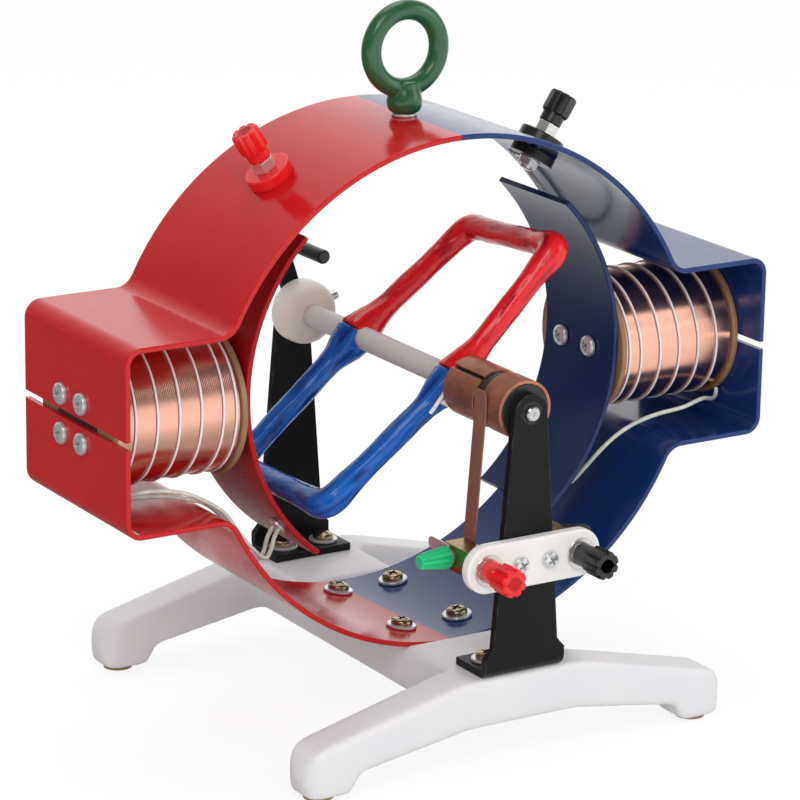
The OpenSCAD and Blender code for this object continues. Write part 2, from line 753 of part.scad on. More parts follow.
module eye_bolt() {
  eye_r = (eye_hole_d + eye_wire_d) / 2;
  color("darkgreen") placed() translate([eye_x, 0, eye_washer_z + eye_washer_t + seat_fit]) {
    cylinder(h = eye_collar_h * 0.55, r = eye_collar_r);
    translate([0, 0, eye_collar_h * 0.55])
      cylinder(h = eye_collar_h * 0.6, r1 = eye_collar_r, r2 = eye_wire_d / 2);
    translate([0, 0, eye_collar_h + eye_hole_d / 2 + eye_wire_d / 2]) rotate([90, 0, 0])
      rotate_extrude() translate([eye_r, 0]) circle(d = eye_wire_d);
    translate([0, 0, -eye_shank_len]) cylinder(h = eye_shank_len + 1, d = eye_shank_d);
  }
}

// The eye bolt's washer stands on the crown's highest line
eye_washer_z = mid_z + ring_half_h;
eye_nut_hang = sqrt(pow(arc_r - strip_t, 2) - pow(abs(eye_x) + eye_shank_d, 2));
eye_nut_z = mid_z - arc_offset + eye_nut_hang - seat_fit - eye_nut_h;
eye_shank_len = eye_washer_z + eye_washer_t - eye_nut_z + 2;

module eye_washer() {
  color("silver") placed() translate([eye_x, 0, eye_washer_z])
    washer(eye_collar_r * 0.74, eye_shank_d / 2 + hole_fit, eye_washer_t);
}

module eye_nut() {
  color("silver") placed() translate([eye_x, 0, eye_nut_z])
    hex_nut(eye_shank_d * 0.92, eye_shank_d / 2 + seat_fit, eye_nut_h);
}

// A curved pole shoe on +X, concentric with the shaft
module pole_shoe(side) {
  difference() {
    on_side(side) at_shaft() rotate([90, 0, 0]) rotate([0, 0, -shoe_down_a])
      rotate_extrude(angle = shoe_up_a + shoe_down_a)
      translate([shoe_r, -shoe_w / 2]) square([shoe_t, shoe_w]);
    at_shoe_screws(side) translate([0, 0, -shoe_t - 3]) cylinder(h = shoe_t + 6,
      r = screw_d / 2 + hole_fit);
  }
}

// Places of a shoe's screws: +Z points to the shaft and z = 0 is the head's seat
module at_shoe_screws(side) {
  drop = core_z - shaft_z;
  seat_x = sqrt(shoe_r * shoe_r - pow(abs(drop) + head_r, 2)) - seat_fit;
  for (dy = [-1, 1])
    on_side(side) translate([seat_x, core_y + dy * shoe_screw_y / 2, core_z]) rotate([0, -90, 0])
      children();
}

module pole_shoe_red() {
  color("firebrick") placed() pole_shoe(-1);
}

module pole_shoe_blue() {
  color("navy") placed() pole_shoe(1);
}

module shoe_screws() {
  color("gainsboro") placed() for (side = [-1, 1]) at_shoe_screws(side) screw(shoe_t + screw_grip);
}

// Iron core on the coils' axis, shaped to the back of its pole shoe
module core(side) {
  difference() {
    on_side(side) translate([0, core_y, core_z]) rod_x(shoe_r - 6, box_in_x - seat_fit, core_r);
    at_shaft() rod_y(-strip_w, strip_w, shoe_back_r + seat_fit);
    at_shoe_screws(side) translate([0, 0, -shoe_t - screw_grip - 4])
      cylinder(h = shoe_t + screw_grip + 4, r = screw_d / 2 + seat_fit);
    for (up = [-1, 1]) at_box_screws(up) translate([0, 0, -strip_t - screw_grip - 3])
      cylinder(h = screw_grip + 8, r = screw_d / 2 + seat_fit);
  }
}

module core_red() {
  color("dimgray") placed() core(-1);
}

module core_blue() {
  color("dimgray") placed() core(1);
}

// Fibre bobbin: a tube with two flanges
module bobbin(side) {
  on_side(side) translate([0, core_y, core_z]) difference() {
    union() {
      rod_x(bobbin_x0, bobbin_x1, tube_r);
      rod_x(bobbin_x0, winding_x0, flange_r);
      rod_x(winding_x1, bobbin_x1, flange_r);
    }
    rod_x(bobbin_x0 - 1, bobbin_x1 + 1, core_r + seat_fit);
  }
}

module bobbin_red() {
  color("tan") placed() bobbin(-1);
}

module bobbin_blue() {
  color("tan") placed() bobbin(1);
}

module coil_inner_turns() {
  color("sienna") placed() for (side = [-1, 1]) on_side(side) translate([0, core_y, core_z])
    difference() {
    rod_x(winding_x0 + seat_fit, winding_x1 - seat_fit, inner_turns_r);
    rod_x(winding_x0 - 1, winding_x1 + 1, tube_r + seat_fit);
  }
}

// Outer layer of a coil: one unbroken wire
module winding(side) {
  on_side(side) translate([0, core_y, core_z])
    polyhedron(tube_points(winding_path, helix_aside(winding_path), wire_r, turn_sides),
      tube_faces(len(winding_path), turn_sides));
}

module winding_red() {
  color("peru") placed() winding(-1);
}

module winding_blue() {
  color("peru") placed() winding(1);
}

module binding_threads() {
  color("white") placed() for (side = [-1, 1]) on_side(side) translate([0, core_y, core_z])
    polyhedron(tube_points(thread_path, helix_aside(thread_path), thread_d / 2, thread_sides),
      tube_faces(len(thread_path), thread_sides));
}

module box_screws() {
  color("gainsboro") placed() for (up = [-1, 1]) at_box_screws(up) screw(strip_t + screw_grip);
}

// A sheet bracket on the -Y end, with its foot bent inwards
module bracket() {
  top = bracket_top_r;
  waist = bracket_waist_w / 2;
  foot = bracket_foot_w / 2;
  shoulder_z = base_top_h + bracket_shoulder_h;
  rise = shaft_z - shoulder_z;
  lean = atan2(waist, rise) - asin(top / norm([waist, rise]));
  tangent_x = waist - norm([waist, rise]) * cos(asin(top / norm([waist, rise]))) * sin(lean);
  tangent_z = shoulder_z + norm([waist, rise]) * cos(asin(top / norm([waist, rise]))) * cos(lean);
  difference() {
    union() {
      translate([0, -bracket_in_y, 0]) rotate([90, 0, 0]) linear_extrude(bracket_t) {
        polygon([
          [-foot, base_top_h + bracket_bend_r], [foot, base_top_h + bracket_bend_r],
            [foot, shoulder_z - 4], [waist, shoulder_z],
          [tangent_x, tangent_z], [0, shaft_z], [-tangent_x, tangent_z], [-waist, shoulder_z],
            [-foot, shoulder_z - 4]
        ]);
        translate([0, shaft_z]) circle(r = top);
      }
      translate([-foot, -bracket_out_y + bracket_bend_r, base_top_h])
        cube([bracket_foot_w, bracket_foot_len - bracket_bend_r, bracket_t]);
      translate([0, -bracket_out_y + bracket_bend_r, base_top_h + bracket_bend_r]) rotate([90, 0, 90])
        rotate([0, 0, 180])
        rotate_extrude(angle = 90) translate([bracket_bend_r - bracket_t, -foot])
          square([bracket_t, bracket_foot_w]);
    }
    at_shaft() rod_y(-base_len, 0, bush_r + seat_fit);
    at_bracket_screws() translate([0, 0, -bracket_t - 1]) cylinder(h = bracket_t + 2,
      r = screw_d / 2 + hole_fit);
  }
}

module near_bracket() {
  color("black") placed() difference() {
    bracket();
    at_board_screws() translate([0, 0, -board_t - bracket_t - 2]) cylinder(h = board_t + bracket_t + 2,
      r = screw_d / 2 + seat_fit);
  }
}

module far_bracket() {
  color("black") placed() mirror([0, 1, 0]) bracket();
}

module bracket_washers() {
  color("silver") placed() at_bracket_screws() washer(washer_r, screw_d / 2 + hole_fit, washer_t);
}

module bracket_screws() {
  color("darkkhaki") placed() at_bracket_screws() translate([0, 0, washer_t])
    screw(washer_t + bracket_t + screw_grip);
}

module shaft_bushes() {
  color("goldenrod") placed() for (end = [0, 1]) mirror([0, end, 0]) at_shaft() difference() {
    union() {
      rod_y(-bracket_out_y - 0.3, -bracket_in_y + bush_rim_t, bush_r);
      rod_y(-bracket_in_y, -bracket_in_y + bush_rim_t, bush_rim_r);
    }
    rod_y(-base_len, 0, shaft_d / 2 + run_fit);
  }
}

// Places of the board's screws on its front face
module at_board_screws() {
  for (dx = [-1, 1])
    translate([dx * board_screw_x, -bracket_out_y - board_t, board_z]) rotate([90, 0, 0]) children();
}

module terminal_board() {
  round_x = (board_len - board_h) / 2;
  color("ivory") placed() difference() {
    translate([0, -bracket_out_y, board_z]) rotate([90, 0, 0]) linear_extrude(board_t) {
      square([2 * round_x, board_h], center = true);
      for (dx = [-1, 1]) translate([dx * round_x, 0]) circle(d = board_h);
    }
    at_board_screws() translate([0, 0, -board_t - 1]) cylinder(h = board_t + 2,
      r = screw_d / 2 + hole_fit);
    for (side = [-1, 1]) at_front_post(side) translate([0, 0, -board_t - 1]) cylinder(h = board_t + 2,
      r = stud_d / 2 + hole_fit);
  }
}

module board_screws() {
  color("gainsboro") placed() at_board_screws() screw(board_t + bracket_t, board_head_r);
}

// A post's metal stud: collar on z = 0, plug socket at its outer end
module stud(below, above, collar) {
  difference() {
    union() {
      translate([0, 0, -below]) cylinder(h = below + above, r = stud_d / 2);
      cylinder(h = collar, r = collar_r, $fn = 6);
    }
    translate([0, 0, above - socket_depth]) cylinder(h = socket_depth + 1, r = socket_r);
  }
}

// A ribbed screw cap over a stud
module cap(start, neck, head) {
  rib_depth = cap_r * 0.16;
  top = start + neck + head;
  difference() {
    translate([0, 0, start]) union() {
      cylinder(h = neck, r = cap_neck_r);
      translate([0, 0, neck]) cylinder(h = 1.2, r1 = cap_neck_r, r2 = cap_r);
      translate([0, 0, neck + 1.2]) cylinder(h = head - 2, r = cap_r);
      translate([0, 0, neck + head - 0.8]) cylinder(h = 0.8, r1 = cap_r, r2 = cap_r - 0.6);
    }
    translate([0, 0, start - 1]) cylinder(h = top - cap_wall - start + 1,
      r = stud_d / 2 + run_fit);
    translate([0, 0, start]) cylinder(h = top, r = stud_d / 2 - 0.2);
    for (k = [0:cap_ribs - 1]) rotate([0, 0, 360 * k / cap_ribs])
      translate([cap_r + rib_depth, 0, start + neck + 0.6]) cylinder(h = head, r = 2 * rib_depth);
  }
}

// Length of a stud above its collar's foot, a little short of its cap's end wall
function stud_above(start, neck, head) = start + neck + head - cap_wall - pass_gap;

module front_studs() {
  color("silver") placed() for (side = [-1, 1]) at_front_post(side) {
    stud(board_t + nut_h + 1, stud_above(front_cap_start, front_neck_len, front_head_len),
      front_collar_h);
    washer(collar_r + 1.4, stud_d / 2, 0.8);
  }
}

// Nuts that hold the front posts and the brush blocks against the board
module front_nuts() {
  color("goldenrod") placed() for (side = [-1, 1]) at_front_post(side) translate([0, 0, -board_t - 0.6])
    washer(stud_d / 2 + 1.5, stud_d / 2 + seat_fit, 0.6);
}

module cap_front_red() {
  color("red") placed() at_front_post(-1) cap(front_cap_start, front_neck_len, front_head_len);
}

module cap_front_black() {
  color("black") placed() at_front_post(1) cap(front_cap_start, front_neck_len, front_head_len);
}

module top_studs() {
  color("silver") placed() for (side = [-1, 1]) at_top_post(side) translate([0, 0, disc_t])
    stud(disc_t + under_discs + 1.5, stud_above(cap_start, cap_neck_len, cap_head_len), collar_h);
}

// Insulating discs of a top post, outside and inside the strip
module insulators(side) {
  at_top_post(side) {
    difference() {
      union() {
        cylinder(h = disc_t - 0.7, r = disc_r);
        translate([0, 0, disc_t - 0.7]) cylinder(h = 0.7, r1 = disc_r, r2 = disc_r - 0.7);
      }
      translate([0, 0, -1]) cylinder(h = disc_t + 2, r = stud_d / 2 + seat_fit);
    }
    translate([0, 0, -disc_in - inner_disc_t]) washer(disc_r, stud_d / 2 + seat_fit, inner_disc_t);
  }
}

module insulators_red() {
  color("red") placed() insulators(-1);
}

module insulators_black() {
  color("black") placed() insulators(1);
}

// Nuts and solder tags under the inner discs
module top_nuts() {
  color("silver") placed() for (side = [-1, 1]) at_top_post(side) translate([0, 0, -under_discs])
    difference() {
    union() {
      cylinder(h = nut_h, r = nut_r, $fn = 6);
      translate([0, 0, nut_h]) cylinder(h = tag_t, r = nut_r);
      translate([-1.5, 0, nut_h]) cube([3, tag_reach, tag_t]);
    }
    translate([0, 0, -1]) cylinder(h = nut_h + tag_t + 2, r = stud_d / 2 + seat_fit);
  }
}

module cap_top_red() {
  color("red") placed() at_top_post(-1) translate([0, 0, disc_t])
    cap(cap_start, cap_neck_len, cap_head_len);
}

module cap_top_black() {
  color("black") placed() at_top_post(1) translate([0, 0, disc_t])
    cap(cap_start, cap_neck_len, cap_head_len);
}

// Place of a brush clamp: the clamp screw runs along X through the origin
module at_clamp() {
  translate([0, clamp_y, board_z]) children();
}

module brush_blocks() {
  color("goldenrod") placed() for (side = [-1, 1]) on_side(side) difference() {
    translate([block_x0, -bracket_out_y + 0.6 + seat_fit, board_z - block_h / 2])
      cube([block_w, block_len, block_h]);
    at_clamp() rod_x(block_x0 - 1, block_x1 + 1, clamp_d / 2 + seat_fit);
    translate([post_x, -bracket_out_y, board_z]) rod_y(-1, nut_h + 1.5, stud_d / 2 + seat_fit);
  }
}

// Clamp screws with a head inside the brush strip
module clamp_studs() {
  head = 1.4;
  color("silver") placed() for (side = [-1, 1]) on_side(side) at_clamp() {
    rod_x(brush_x_foot - seat_fit - head, block_x1 + lug_t + knob_len * 0.7, clamp_d / 2);
    rod_x(brush_x_foot - seat_fit - head, brush_x_foot - seat_fit, clamp_d / 2 + 1.2);
  }
}

// Solder lugs between the blocks and the knobs, with tails along the shaft
module brush_lugs() {
  color("silver") placed() for (side = [-1, 1]) on_side(side) at_clamp() difference() {
    union() {
      rod_x(block_x1 + seat_fit, block_x1 + lug_t, clamp_d / 2 + 2);
      translate([block_x1 + seat_fit, 0, lug_rise - lug_w / 2])
        cube([lug_t - seat_fit, lug_tail, lug_w]);
      translate([0, lug_tail, lug_rise]) rod_x(block_x1 + seat_fit, block_x1 + lug_t, lug_w / 2);
    }
    rod_x(block_x1 - 1, block_x1 + 10, clamp_d / 2 + seat_fit);
  }
}

// A brush strip on +X, upright from its clamp to the rings
module brush() {
  inner = [
    [brush_x_foot, -brush_foot], [brush_x_foot, brush_lean_start], [brush_x_top, brush_lean_end],
      [brush_x_top, brush_top]
  ];
  outer = [for (k = [3:-1:0]) inner[k] + [brush_t, 0]];
  difference() {
    translate([0, brush_w / 2, 0]) rotate([90, 0, 0]) linear_extrude(brush_w)
      polygon(concat(inner, outer));
    rod_x(0, 2 * post_x, clamp_d / 2 + run_fit);
  }
}

module brush_left() {
  color("chocolate") placed() at_clamp() on_side(-1) brush();
}

// The far side's strip rests on the split ring
module brush_right() {
  color("chocolate") placed() at_clamp() rotate([-brush_swing, 0, 0]) brush();
}

// A tapered, ribbed clamp knob on +X
module knob() {
  ribs = 10;
  tip_r = knob_r * 0.66;
  x0 = block_x1 + lug_t + seat_fit;
  at_clamp() difference() {
    translate([x0, 0, 0]) rotate([0, 90, 0]) union() {
      cylinder(h = knob_len - 1, r1 = knob_r, r2 = tip_r);
      translate([0, 0, knob_len - 1]) cylinder(h = 1, r1 = tip_r, r2 = tip_r - 0.8);
    }
    rod_x(x0 - 1, block_x1 + lug_t + knob_len * 0.7 + pass_gap, clamp_d / 2 + run_fit);
    for (k = [0:ribs - 1]) rotate([360 * k / ribs, 0, 0]) translate([x0 + 2, 0, knob_r + 0.2])
      rotate([0, 90, 0])
      cylinder(h = knob_len - 3, r = 0.9);
  }
}

module knob_green() {
  color("limegreen") placed() on_side(-1) knob();
}

module knob_black() {
  color("black") placed() knob();
}

module upper_field_leads() {
  color("lightgray") placed() {
    lead(upper_left_route);
    lead(upper_right_route);
  }
}

module lower_field_leads() {
  color("lightgray") placed() {
    lead(lower_left_route);
    lead(lower_left_twin);
    lead(lower_right_route);
  }
}

// Solder tags on the backs of the pole shoes, where the lower leads end
module shoe_tags() {
  tag_r = 4;
  color("silver") placed() for (side = [-1, 1]) on_side(side) at_shaft() rotate([0, tag_a, 0])
    translate([shoe_back_r + seat_fit, -15, 0]) rod_x(0, 1, tag_r);
}

module shaft() {
  color("silver") placed() at_shaft()
    rod_y(-bracket_out_y - shaft_end, bracket_out_y + shaft_end, shaft_d / 2);
}

module shaft_sleeve() {
  color("lightgray") placed() at_shaft()
    pipe_y(split_far_y + 0.5, nose_near_y - seat_fit, sleeve_d / 2, shaft_d / 2 + seat_fit);
}

// A point of the loop at a radius and an angle above level
function loop_point(r, a, y) = [r * cos(a), y, r * sin(a)];

// One half of the taped loop, from the shaft out and back, hand formed
module half_loop(r, lift, twist) {
  near = loop_point(r, lift + twist, loop_near_y);
  far = loop_point(r, lift - twist / 2, loop_far_y);
  difference() {
    union() {
      bar([0, loop_near_y, 0], near, bundle_d / 2);
      bar([0, loop_far_y, 0], far, bundle_d / 2);
      bar(near, far, bundle_d / 2);
      for (p = [near, far]) translate(p) sphere(r = bundle_d / 2 + 0.4);
      for (y = [loop_near_y, loop_far_y]) rod_y(y - bundle_d * 0.65, y + bundle_d * 0.65, knot_r);
    }
    rod_y(-base_len, base_len, sleeve_d / 2 + seat_fit);
    // The halves meet in the plane through the shaft
    rotate([0, -lift, 0]) translate([-2 * knot_r, -base_len / 2, -knot_r - 1])
      cube([2 * knot_r + seat_fit, base_len, 2 * knot_r + 2]);
  }
}

module armature_red() {
  color("red") placed() at_shaft() half_loop(red_loop_r, loop_angle, red_twist);
}

module armature_blue() {
  color("dodgerblue") placed() at_shaft() half_loop(blue_loop_r, loop_angle + 180, blue_twist);
}

module commutator_drum() {
  color("black") placed() at_shaft() difference() {
    union() {
      rod_y(drum_near_y, split_far_y, drum_r);
      rod_y(slip_far_y, split_near_y, drum_r + ring_t * 0.4);
    }
    rod_y(-base_len, 0, shaft_d / 2 + seat_fit);
  }
}

// Two copper segments with slots square to the loop
module split_ring() {
  color("peru") placed() at_shaft() rotate([0, -loop_angle, 0]) difference() {
    pipe_y(split_near_y, split_far_y, ring_r, drum_r + seat_fit);
    translate([-ring_slot / 2, split_near_y - 1, -ring_r - 1])
      cube([ring_slot, split_ring_len + 2, 2 * ring_r + 2]);
  }
}

module slip_ring() {
  color("peru") placed() at_shaft() pipe_y(drum_near_y, slip_far_y, ring_r, drum_r + seat_fit);
}

// Short insulated ends of the loop, soldered to the split ring
module armature_leads() {
  wire = 1.2;
  for_red = loop_angle + red_twist;
  for_blue = loop_angle + 180 + blue_twist;
  color("white") placed() at_shaft() for (a = [for_red, for_blue]) difference() {
    rotate([0, -a, 0]) translate([drum_r + ring_t / 2, 0, 0])
      rod_y(split_far_y + seat_fit, loop_near_y, wire);
    bar([0, loop_near_y, 0], loop_point(red_loop_r, a, loop_near_y), bundle_d / 2 + seat_fit);
    rod_y(loop_near_y - bundle_d * 0.65 - seat_fit, loop_near_y + bundle_d, knot_r + seat_fit);
  }
}

module crank_hub() {
  color("whitesmoke") placed() at_shaft() difference() {
    union() {
      rod_y(hub_near_y, arm_near_y - seat_fit, hub_r);
      rod_y(nose_near_y, hub_near_y, hub_nose_r);
    }
    rod_y(0, base_len, shaft_d / 2 + seat_fit);
    at_set_screw() cylinder(h = hub_r + 1, r = set_screw_r + seat_fit);
  }
}

// The hub's set screw lies across the large step, a little above level
set_screw_r = 2;

module at_set_screw() {
  translate([0, (hub_near_y + arm_near_y) / 2, 0]) rotate([0, 72, 0]) translate([0, 0, shaft_d / 2])
    children();
}

module hub_set_screw() {
  color("silver") placed() at_shaft() at_set_screw() translate([0, 0, seat_fit]) difference() {
    cylinder(h = hub_r - shaft_d / 2 + 3.5, r = set_screw_r);
    translate([-set_screw_r - 1, -0.35, hub_r - shaft_d / 2 + 2.3]) cube([2 * set_screw_r + 2, 0.7, 2]);
  }
}

// The crank's own frame: +Z runs along the arm
module at_crank() {
  at_shaft() rotate([0, -crank_lean, 0]) children();
}

// Flat crank arm with the handle's pin riveted into its end
module crank_arm() {
  color("black") placed() at_crank() {
    difference() {
      union() {
        rod_y(arm_near_y, arm_far_y, arm_w * 0.65);
        translate([-arm_w / 2, arm_near_y, 0]) cube([arm_w, arm_t, crank_throw]);
        translate([0, 0, crank_throw]) rod_y(arm_near_y, arm_far_y, arm_w / 2);
      }
      rod_y(0, base_len, shaft_d / 2 + seat_fit);
    }
    translate([0, 0, crank_throw]) rod_y(arm_near_y - grip_len + 3, arm_near_y, grip_pin_d / 2);
  }
}

module crank_grip() {
  color("black") placed() at_crank() translate([0, 0, crank_throw]) difference() {
    union() {
      rod_y(arm_near_y - pass_gap - grip_len + 0.8, arm_near_y - pass_gap, grip_d / 2);
      translate([0, arm_near_y - pass_gap - grip_len + 0.8, 0]) rotate([90, 0, 0])
        cylinder(h = 0.8, r1 = grip_d / 2, r2 = grip_d / 2 - 0.7);
    }
    rod_y(arm_near_y - grip_len + 3 - pass_gap, arm_near_y + 1, grip_pin_d / 2 + run_fit);
  }
}

base_casting();
foot_pads();
upper_yoke();
lower_yoke();
seat_screws();
seat_washers();
eye_bolt();
eye_washer();
eye_nut();
pole_shoe_red();
pole_shoe_blue();
shoe_screws();
core_red();
core_blue();
bobbin_red();
bobbin_blue();
coil_inner_turns();
winding_red();
winding_blue();
binding_threads();
box_screws();
near_bracket();
far_bracket();
bracket_screws();
bracket_washers();
shaft_bushes();
terminal_board();
board_screws();
front_studs();
front_nuts();
cap_front_red();
cap_front_black();
top_studs();
insulators_red();
insulators_black();
top_nuts();
cap_top_red();
cap_top_black();
brush_blocks();
clamp_studs();
brush_lugs();
brush_left();
brush_right();
knob_green();
knob_black();
upper_field_leads();
lower_field_leads();
shoe_tags();
shaft();
shaft_sleeve();
armature_red();
armature_blue();
commutator_drum();
split_ring();
slip_ring();
armature_leads();
crank_hub();
hub_set_screw();
crank_arm();
crank_grip();
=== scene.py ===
"""Looks of a hand crank generator model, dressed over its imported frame.

Every form is shaped in millimetres in the frame's own axes: X runs from the red
pole to the blue pole, Y along the shaft towards the crank, Z up from the floor.
"""

from __future__ import annotations

import json
import logging
import math
from dataclasses import dataclass, field, replace
from enum import Enum
from typing import Any, Sequence

import bmesh
import bpy
from mathutils import Matrix, Vector, kdtree, noise

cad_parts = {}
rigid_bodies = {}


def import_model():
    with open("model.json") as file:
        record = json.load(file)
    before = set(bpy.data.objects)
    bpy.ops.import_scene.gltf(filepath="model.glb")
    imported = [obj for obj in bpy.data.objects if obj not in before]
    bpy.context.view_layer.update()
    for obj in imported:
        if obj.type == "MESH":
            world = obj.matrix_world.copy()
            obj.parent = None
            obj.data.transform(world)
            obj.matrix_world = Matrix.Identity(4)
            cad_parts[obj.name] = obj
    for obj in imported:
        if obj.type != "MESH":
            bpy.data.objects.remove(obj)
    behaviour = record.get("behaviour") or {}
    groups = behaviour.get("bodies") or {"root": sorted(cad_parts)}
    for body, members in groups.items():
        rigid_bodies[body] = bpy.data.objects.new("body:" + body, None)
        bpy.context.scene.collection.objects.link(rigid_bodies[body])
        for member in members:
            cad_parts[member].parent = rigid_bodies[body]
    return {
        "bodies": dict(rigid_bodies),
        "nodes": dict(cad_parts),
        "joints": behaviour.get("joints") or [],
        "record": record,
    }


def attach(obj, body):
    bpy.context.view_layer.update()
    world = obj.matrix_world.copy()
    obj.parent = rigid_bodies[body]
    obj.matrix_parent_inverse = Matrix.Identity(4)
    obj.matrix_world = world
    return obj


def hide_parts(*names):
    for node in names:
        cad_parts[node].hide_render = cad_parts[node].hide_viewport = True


log = logging.getLogger("generator")

MM = 0.001
WHITE = (1.0, 1.0, 1.0)
BMVert, BMEdge = bmesh.types.BMVert, bmesh.types.BMEdge
Socket, Tree = bpy.types.NodeSocket, bpy.types.NodeTree
Colour = tuple[float, float, float]
Spot = tuple[float, float, float]
Outline = Sequence[tuple[float, float]]


class Body(Enum):
    """Moving bodies of the frame."""

    STAND = "stand"
    ROTOR = "rotor"
    GRIP = "crank_grip"
    LEFT_BRUSH = "brush_left"
    RIGHT_BRUSH = "brush_right"
    GREEN_KNOB = "knob_green"
    BLACK_KNOB = "knob_black"
    RED_TOP_CAP = "cap_top_red"
    BLACK_TOP_CAP = "cap_top_black"
    RED_FRONT_CAP = "cap_front_red"
    BLACK_FRONT_CAP = "cap_front_black"


class Axis(Enum):
    """Directions that a form's own Z axis may be turned to."""

    UP = (0.0, 0.0, 1.0)
    RIGHT = (1.0, 0.0, 0.0)
    LEFT = (-1.0, 0.0, 0.0)
    AWAY = (0.0, 1.0, 0.0)
    NEAR = (0.0, -1.0, 0.0)

    @classmethod
    def across(cls, side: int) -> "Axis":
        """The direction to the blue pole, or for a negative side to the red one."""
        return cls.RIGHT if side > 0 else cls.LEFT


class Shading(Enum):
    """The angle in degrees that makes an edge sharp, and whether large faces rule."""

    SHEET = (40.0, True)
    SCREW = (28.0, True)
    WIRE = (40.0, False)
    SKIN = (180.0, False)


def facing(axis: Axis, x: float, y: float, z: float) -> Matrix:
    """Places a form with its Z axis along a direction.

    Args:
        axis: Where the form's Z axis points.
        x: Place across the ring.
        y: Place along the shaft.
        z: Height above the floor.

    Returns:
        The placing matrix.
    """
    turn = Vector(Axis.UP.value).rotation_difference(Vector(axis.value))
    return Matrix.Translation((x, y, z)) @ turn.to_matrix().to_4x4()


def raised(height: float) -> Matrix:
    """Moves a form up its own Z axis."""
    return Matrix.Translation((0.0, 0.0, height))


def stacked(stations: Outline) -> list[Matrix]:
    """Frames up the Z axis, from pairs of a height and a scale of the section."""
    return [raised(z) @ Matrix.Diagonal((k, k, 1, 1)) for z, k in stations]


def oval(a: float, b: float, count: int) -> list[tuple[float, float]]:
    """Points of a closed oval with half axes a and b."""
    angles = [math.tau * i / count for i in range(count)]
    return [(a * math.cos(t), b * math.sin(t)) for t in angles]


def arc(cx: float, cz: float, r: float, a0: float, a1: float, step: float) -> list[tuple[float, float]]:
    """Points of a circular arc in a plane.

    Args:
        cx: Centre, first axis.
        cz: Centre, second axis.
        r: Radius.
        a0: First angle in degrees.
        a1: Last angle in degrees.
        step: Largest angle between two points.

    Returns:
        The points, both ends included.
    """
    count = max(2, math.ceil(abs(a1 - a0) / step))
    angles = [math.radians(a0 + (a1 - a0) * i / count) for i in range(count + 1)]
    return [(cx + r * math.cos(a), cz + r * math.sin(a)) for a in angles]


def fluted(
    r: float, depth: float, flutes: int, per: int = 8, roundness: float = 1.4,
) -> list[tuple[float, float]]:
    """Outline of a knob with rounded flutes.

    Args:
        r: Radius over the ribs.
        depth: Depth of a flute.
        flutes: Number of flutes.
        per: Points for each flute.
        roundness: How narrow a flute is against its rib.

    Returns:
        The closed outline.
    """
    points = []
    for a in (math.tau * i / (flutes * per) for i in range(flutes * per)):
        groove = max(0.0, math.cos(flutes * a)) ** roundness
        points.append(((r - depth * groove) * math.cos(a), (r - depth * groove) * math.sin(a)))
    return points


def smooth_route(points: Sequence[Sequence[float]], steps: int) -> list[Vector]:
    """A curve through route points.

    Args:
        points: The route's own points.
        steps: Steps for each stretch between two points.

    Returns:
        The points of the curve.
    """
    p = [Vector(q) for q in points]
    last = len(p) - 1
    curve = []
    for i in range(last):
        a, b, c, d = p[max(i - 1, 0)], p[i], p[i + 1], p[min(i + 2, last)]
        bend, swing = 2 * a - 5 * b + 4 * c - d, 3 * b - a - 3 * c + d
        for t in (s / steps for s in range(steps)):
            curve.append(0.5 * (2 * b + (c - a) * t + bend * t ** 2 + swing * t ** 3))
    return curve + [p[-1]]


def rounded_route(points: Sequence[Vector], radius: float, step: float, per: int = 16) -> list[Vector]:
    """A route with its corners drawn round, in even steps.

    Args:
        points: Corner points.
        radius: How far before and after a corner the rounding starts.
        step: Distance between two points of the result.
        per: Steps of each rounding before they are evened out.

    Returns:
        The points of the route.
    """
    rough = [points[0]]
    for before, corner, after in zip(points, points[1:], points[2:]):
        start = corner + (before - corner).normalized() * radius
        end = corner + (after - corner).normalized() * radius
        for t in (i / per for i in range(per + 1)):
            rough.append(start.lerp(corner, t).lerp(corner.lerp(end, t), t))
    rough.append(points[-1])
    even, left = [rough[0]], step
    for a, b in zip(rough, rough[1:]):
        length, done = (b - a).length, 0.0
        while length - done >= left:
            done += left
            even.append(a.lerp(b, done / length))
            left = step
        left -= length - done
    return even


def path_frames(points: Sequence[Vector], side: Vector) -> list[Matrix]:
    """Frames along a path, turned as little as possible from one to the next.

    Args:
        points: The path.
        side: Direction of the first frame's X axis.

    Returns:
        One frame for each point, with Z along the path.
    """
    frames = []
    last = len(points) - 1
    for i, point in enumerate(points):
        ahead = (points[min(i + 1, last)] - points[max(i - 1, 0)]).normalized()
        side = (side - ahead * side.dot(ahead)).normalized()
        turn = Matrix((side, ahead.cross(side), ahead)).transposed()
        frames.append(Matrix.Translation(point) @ turn.to_4x4())
    return frames


def only(kind: type, geom: Sequence[Any]) -> list[Any]:
    """The elements of one kind among a mesh operator's results."""
    return [g for g in geom if isinstance(g, kind)]


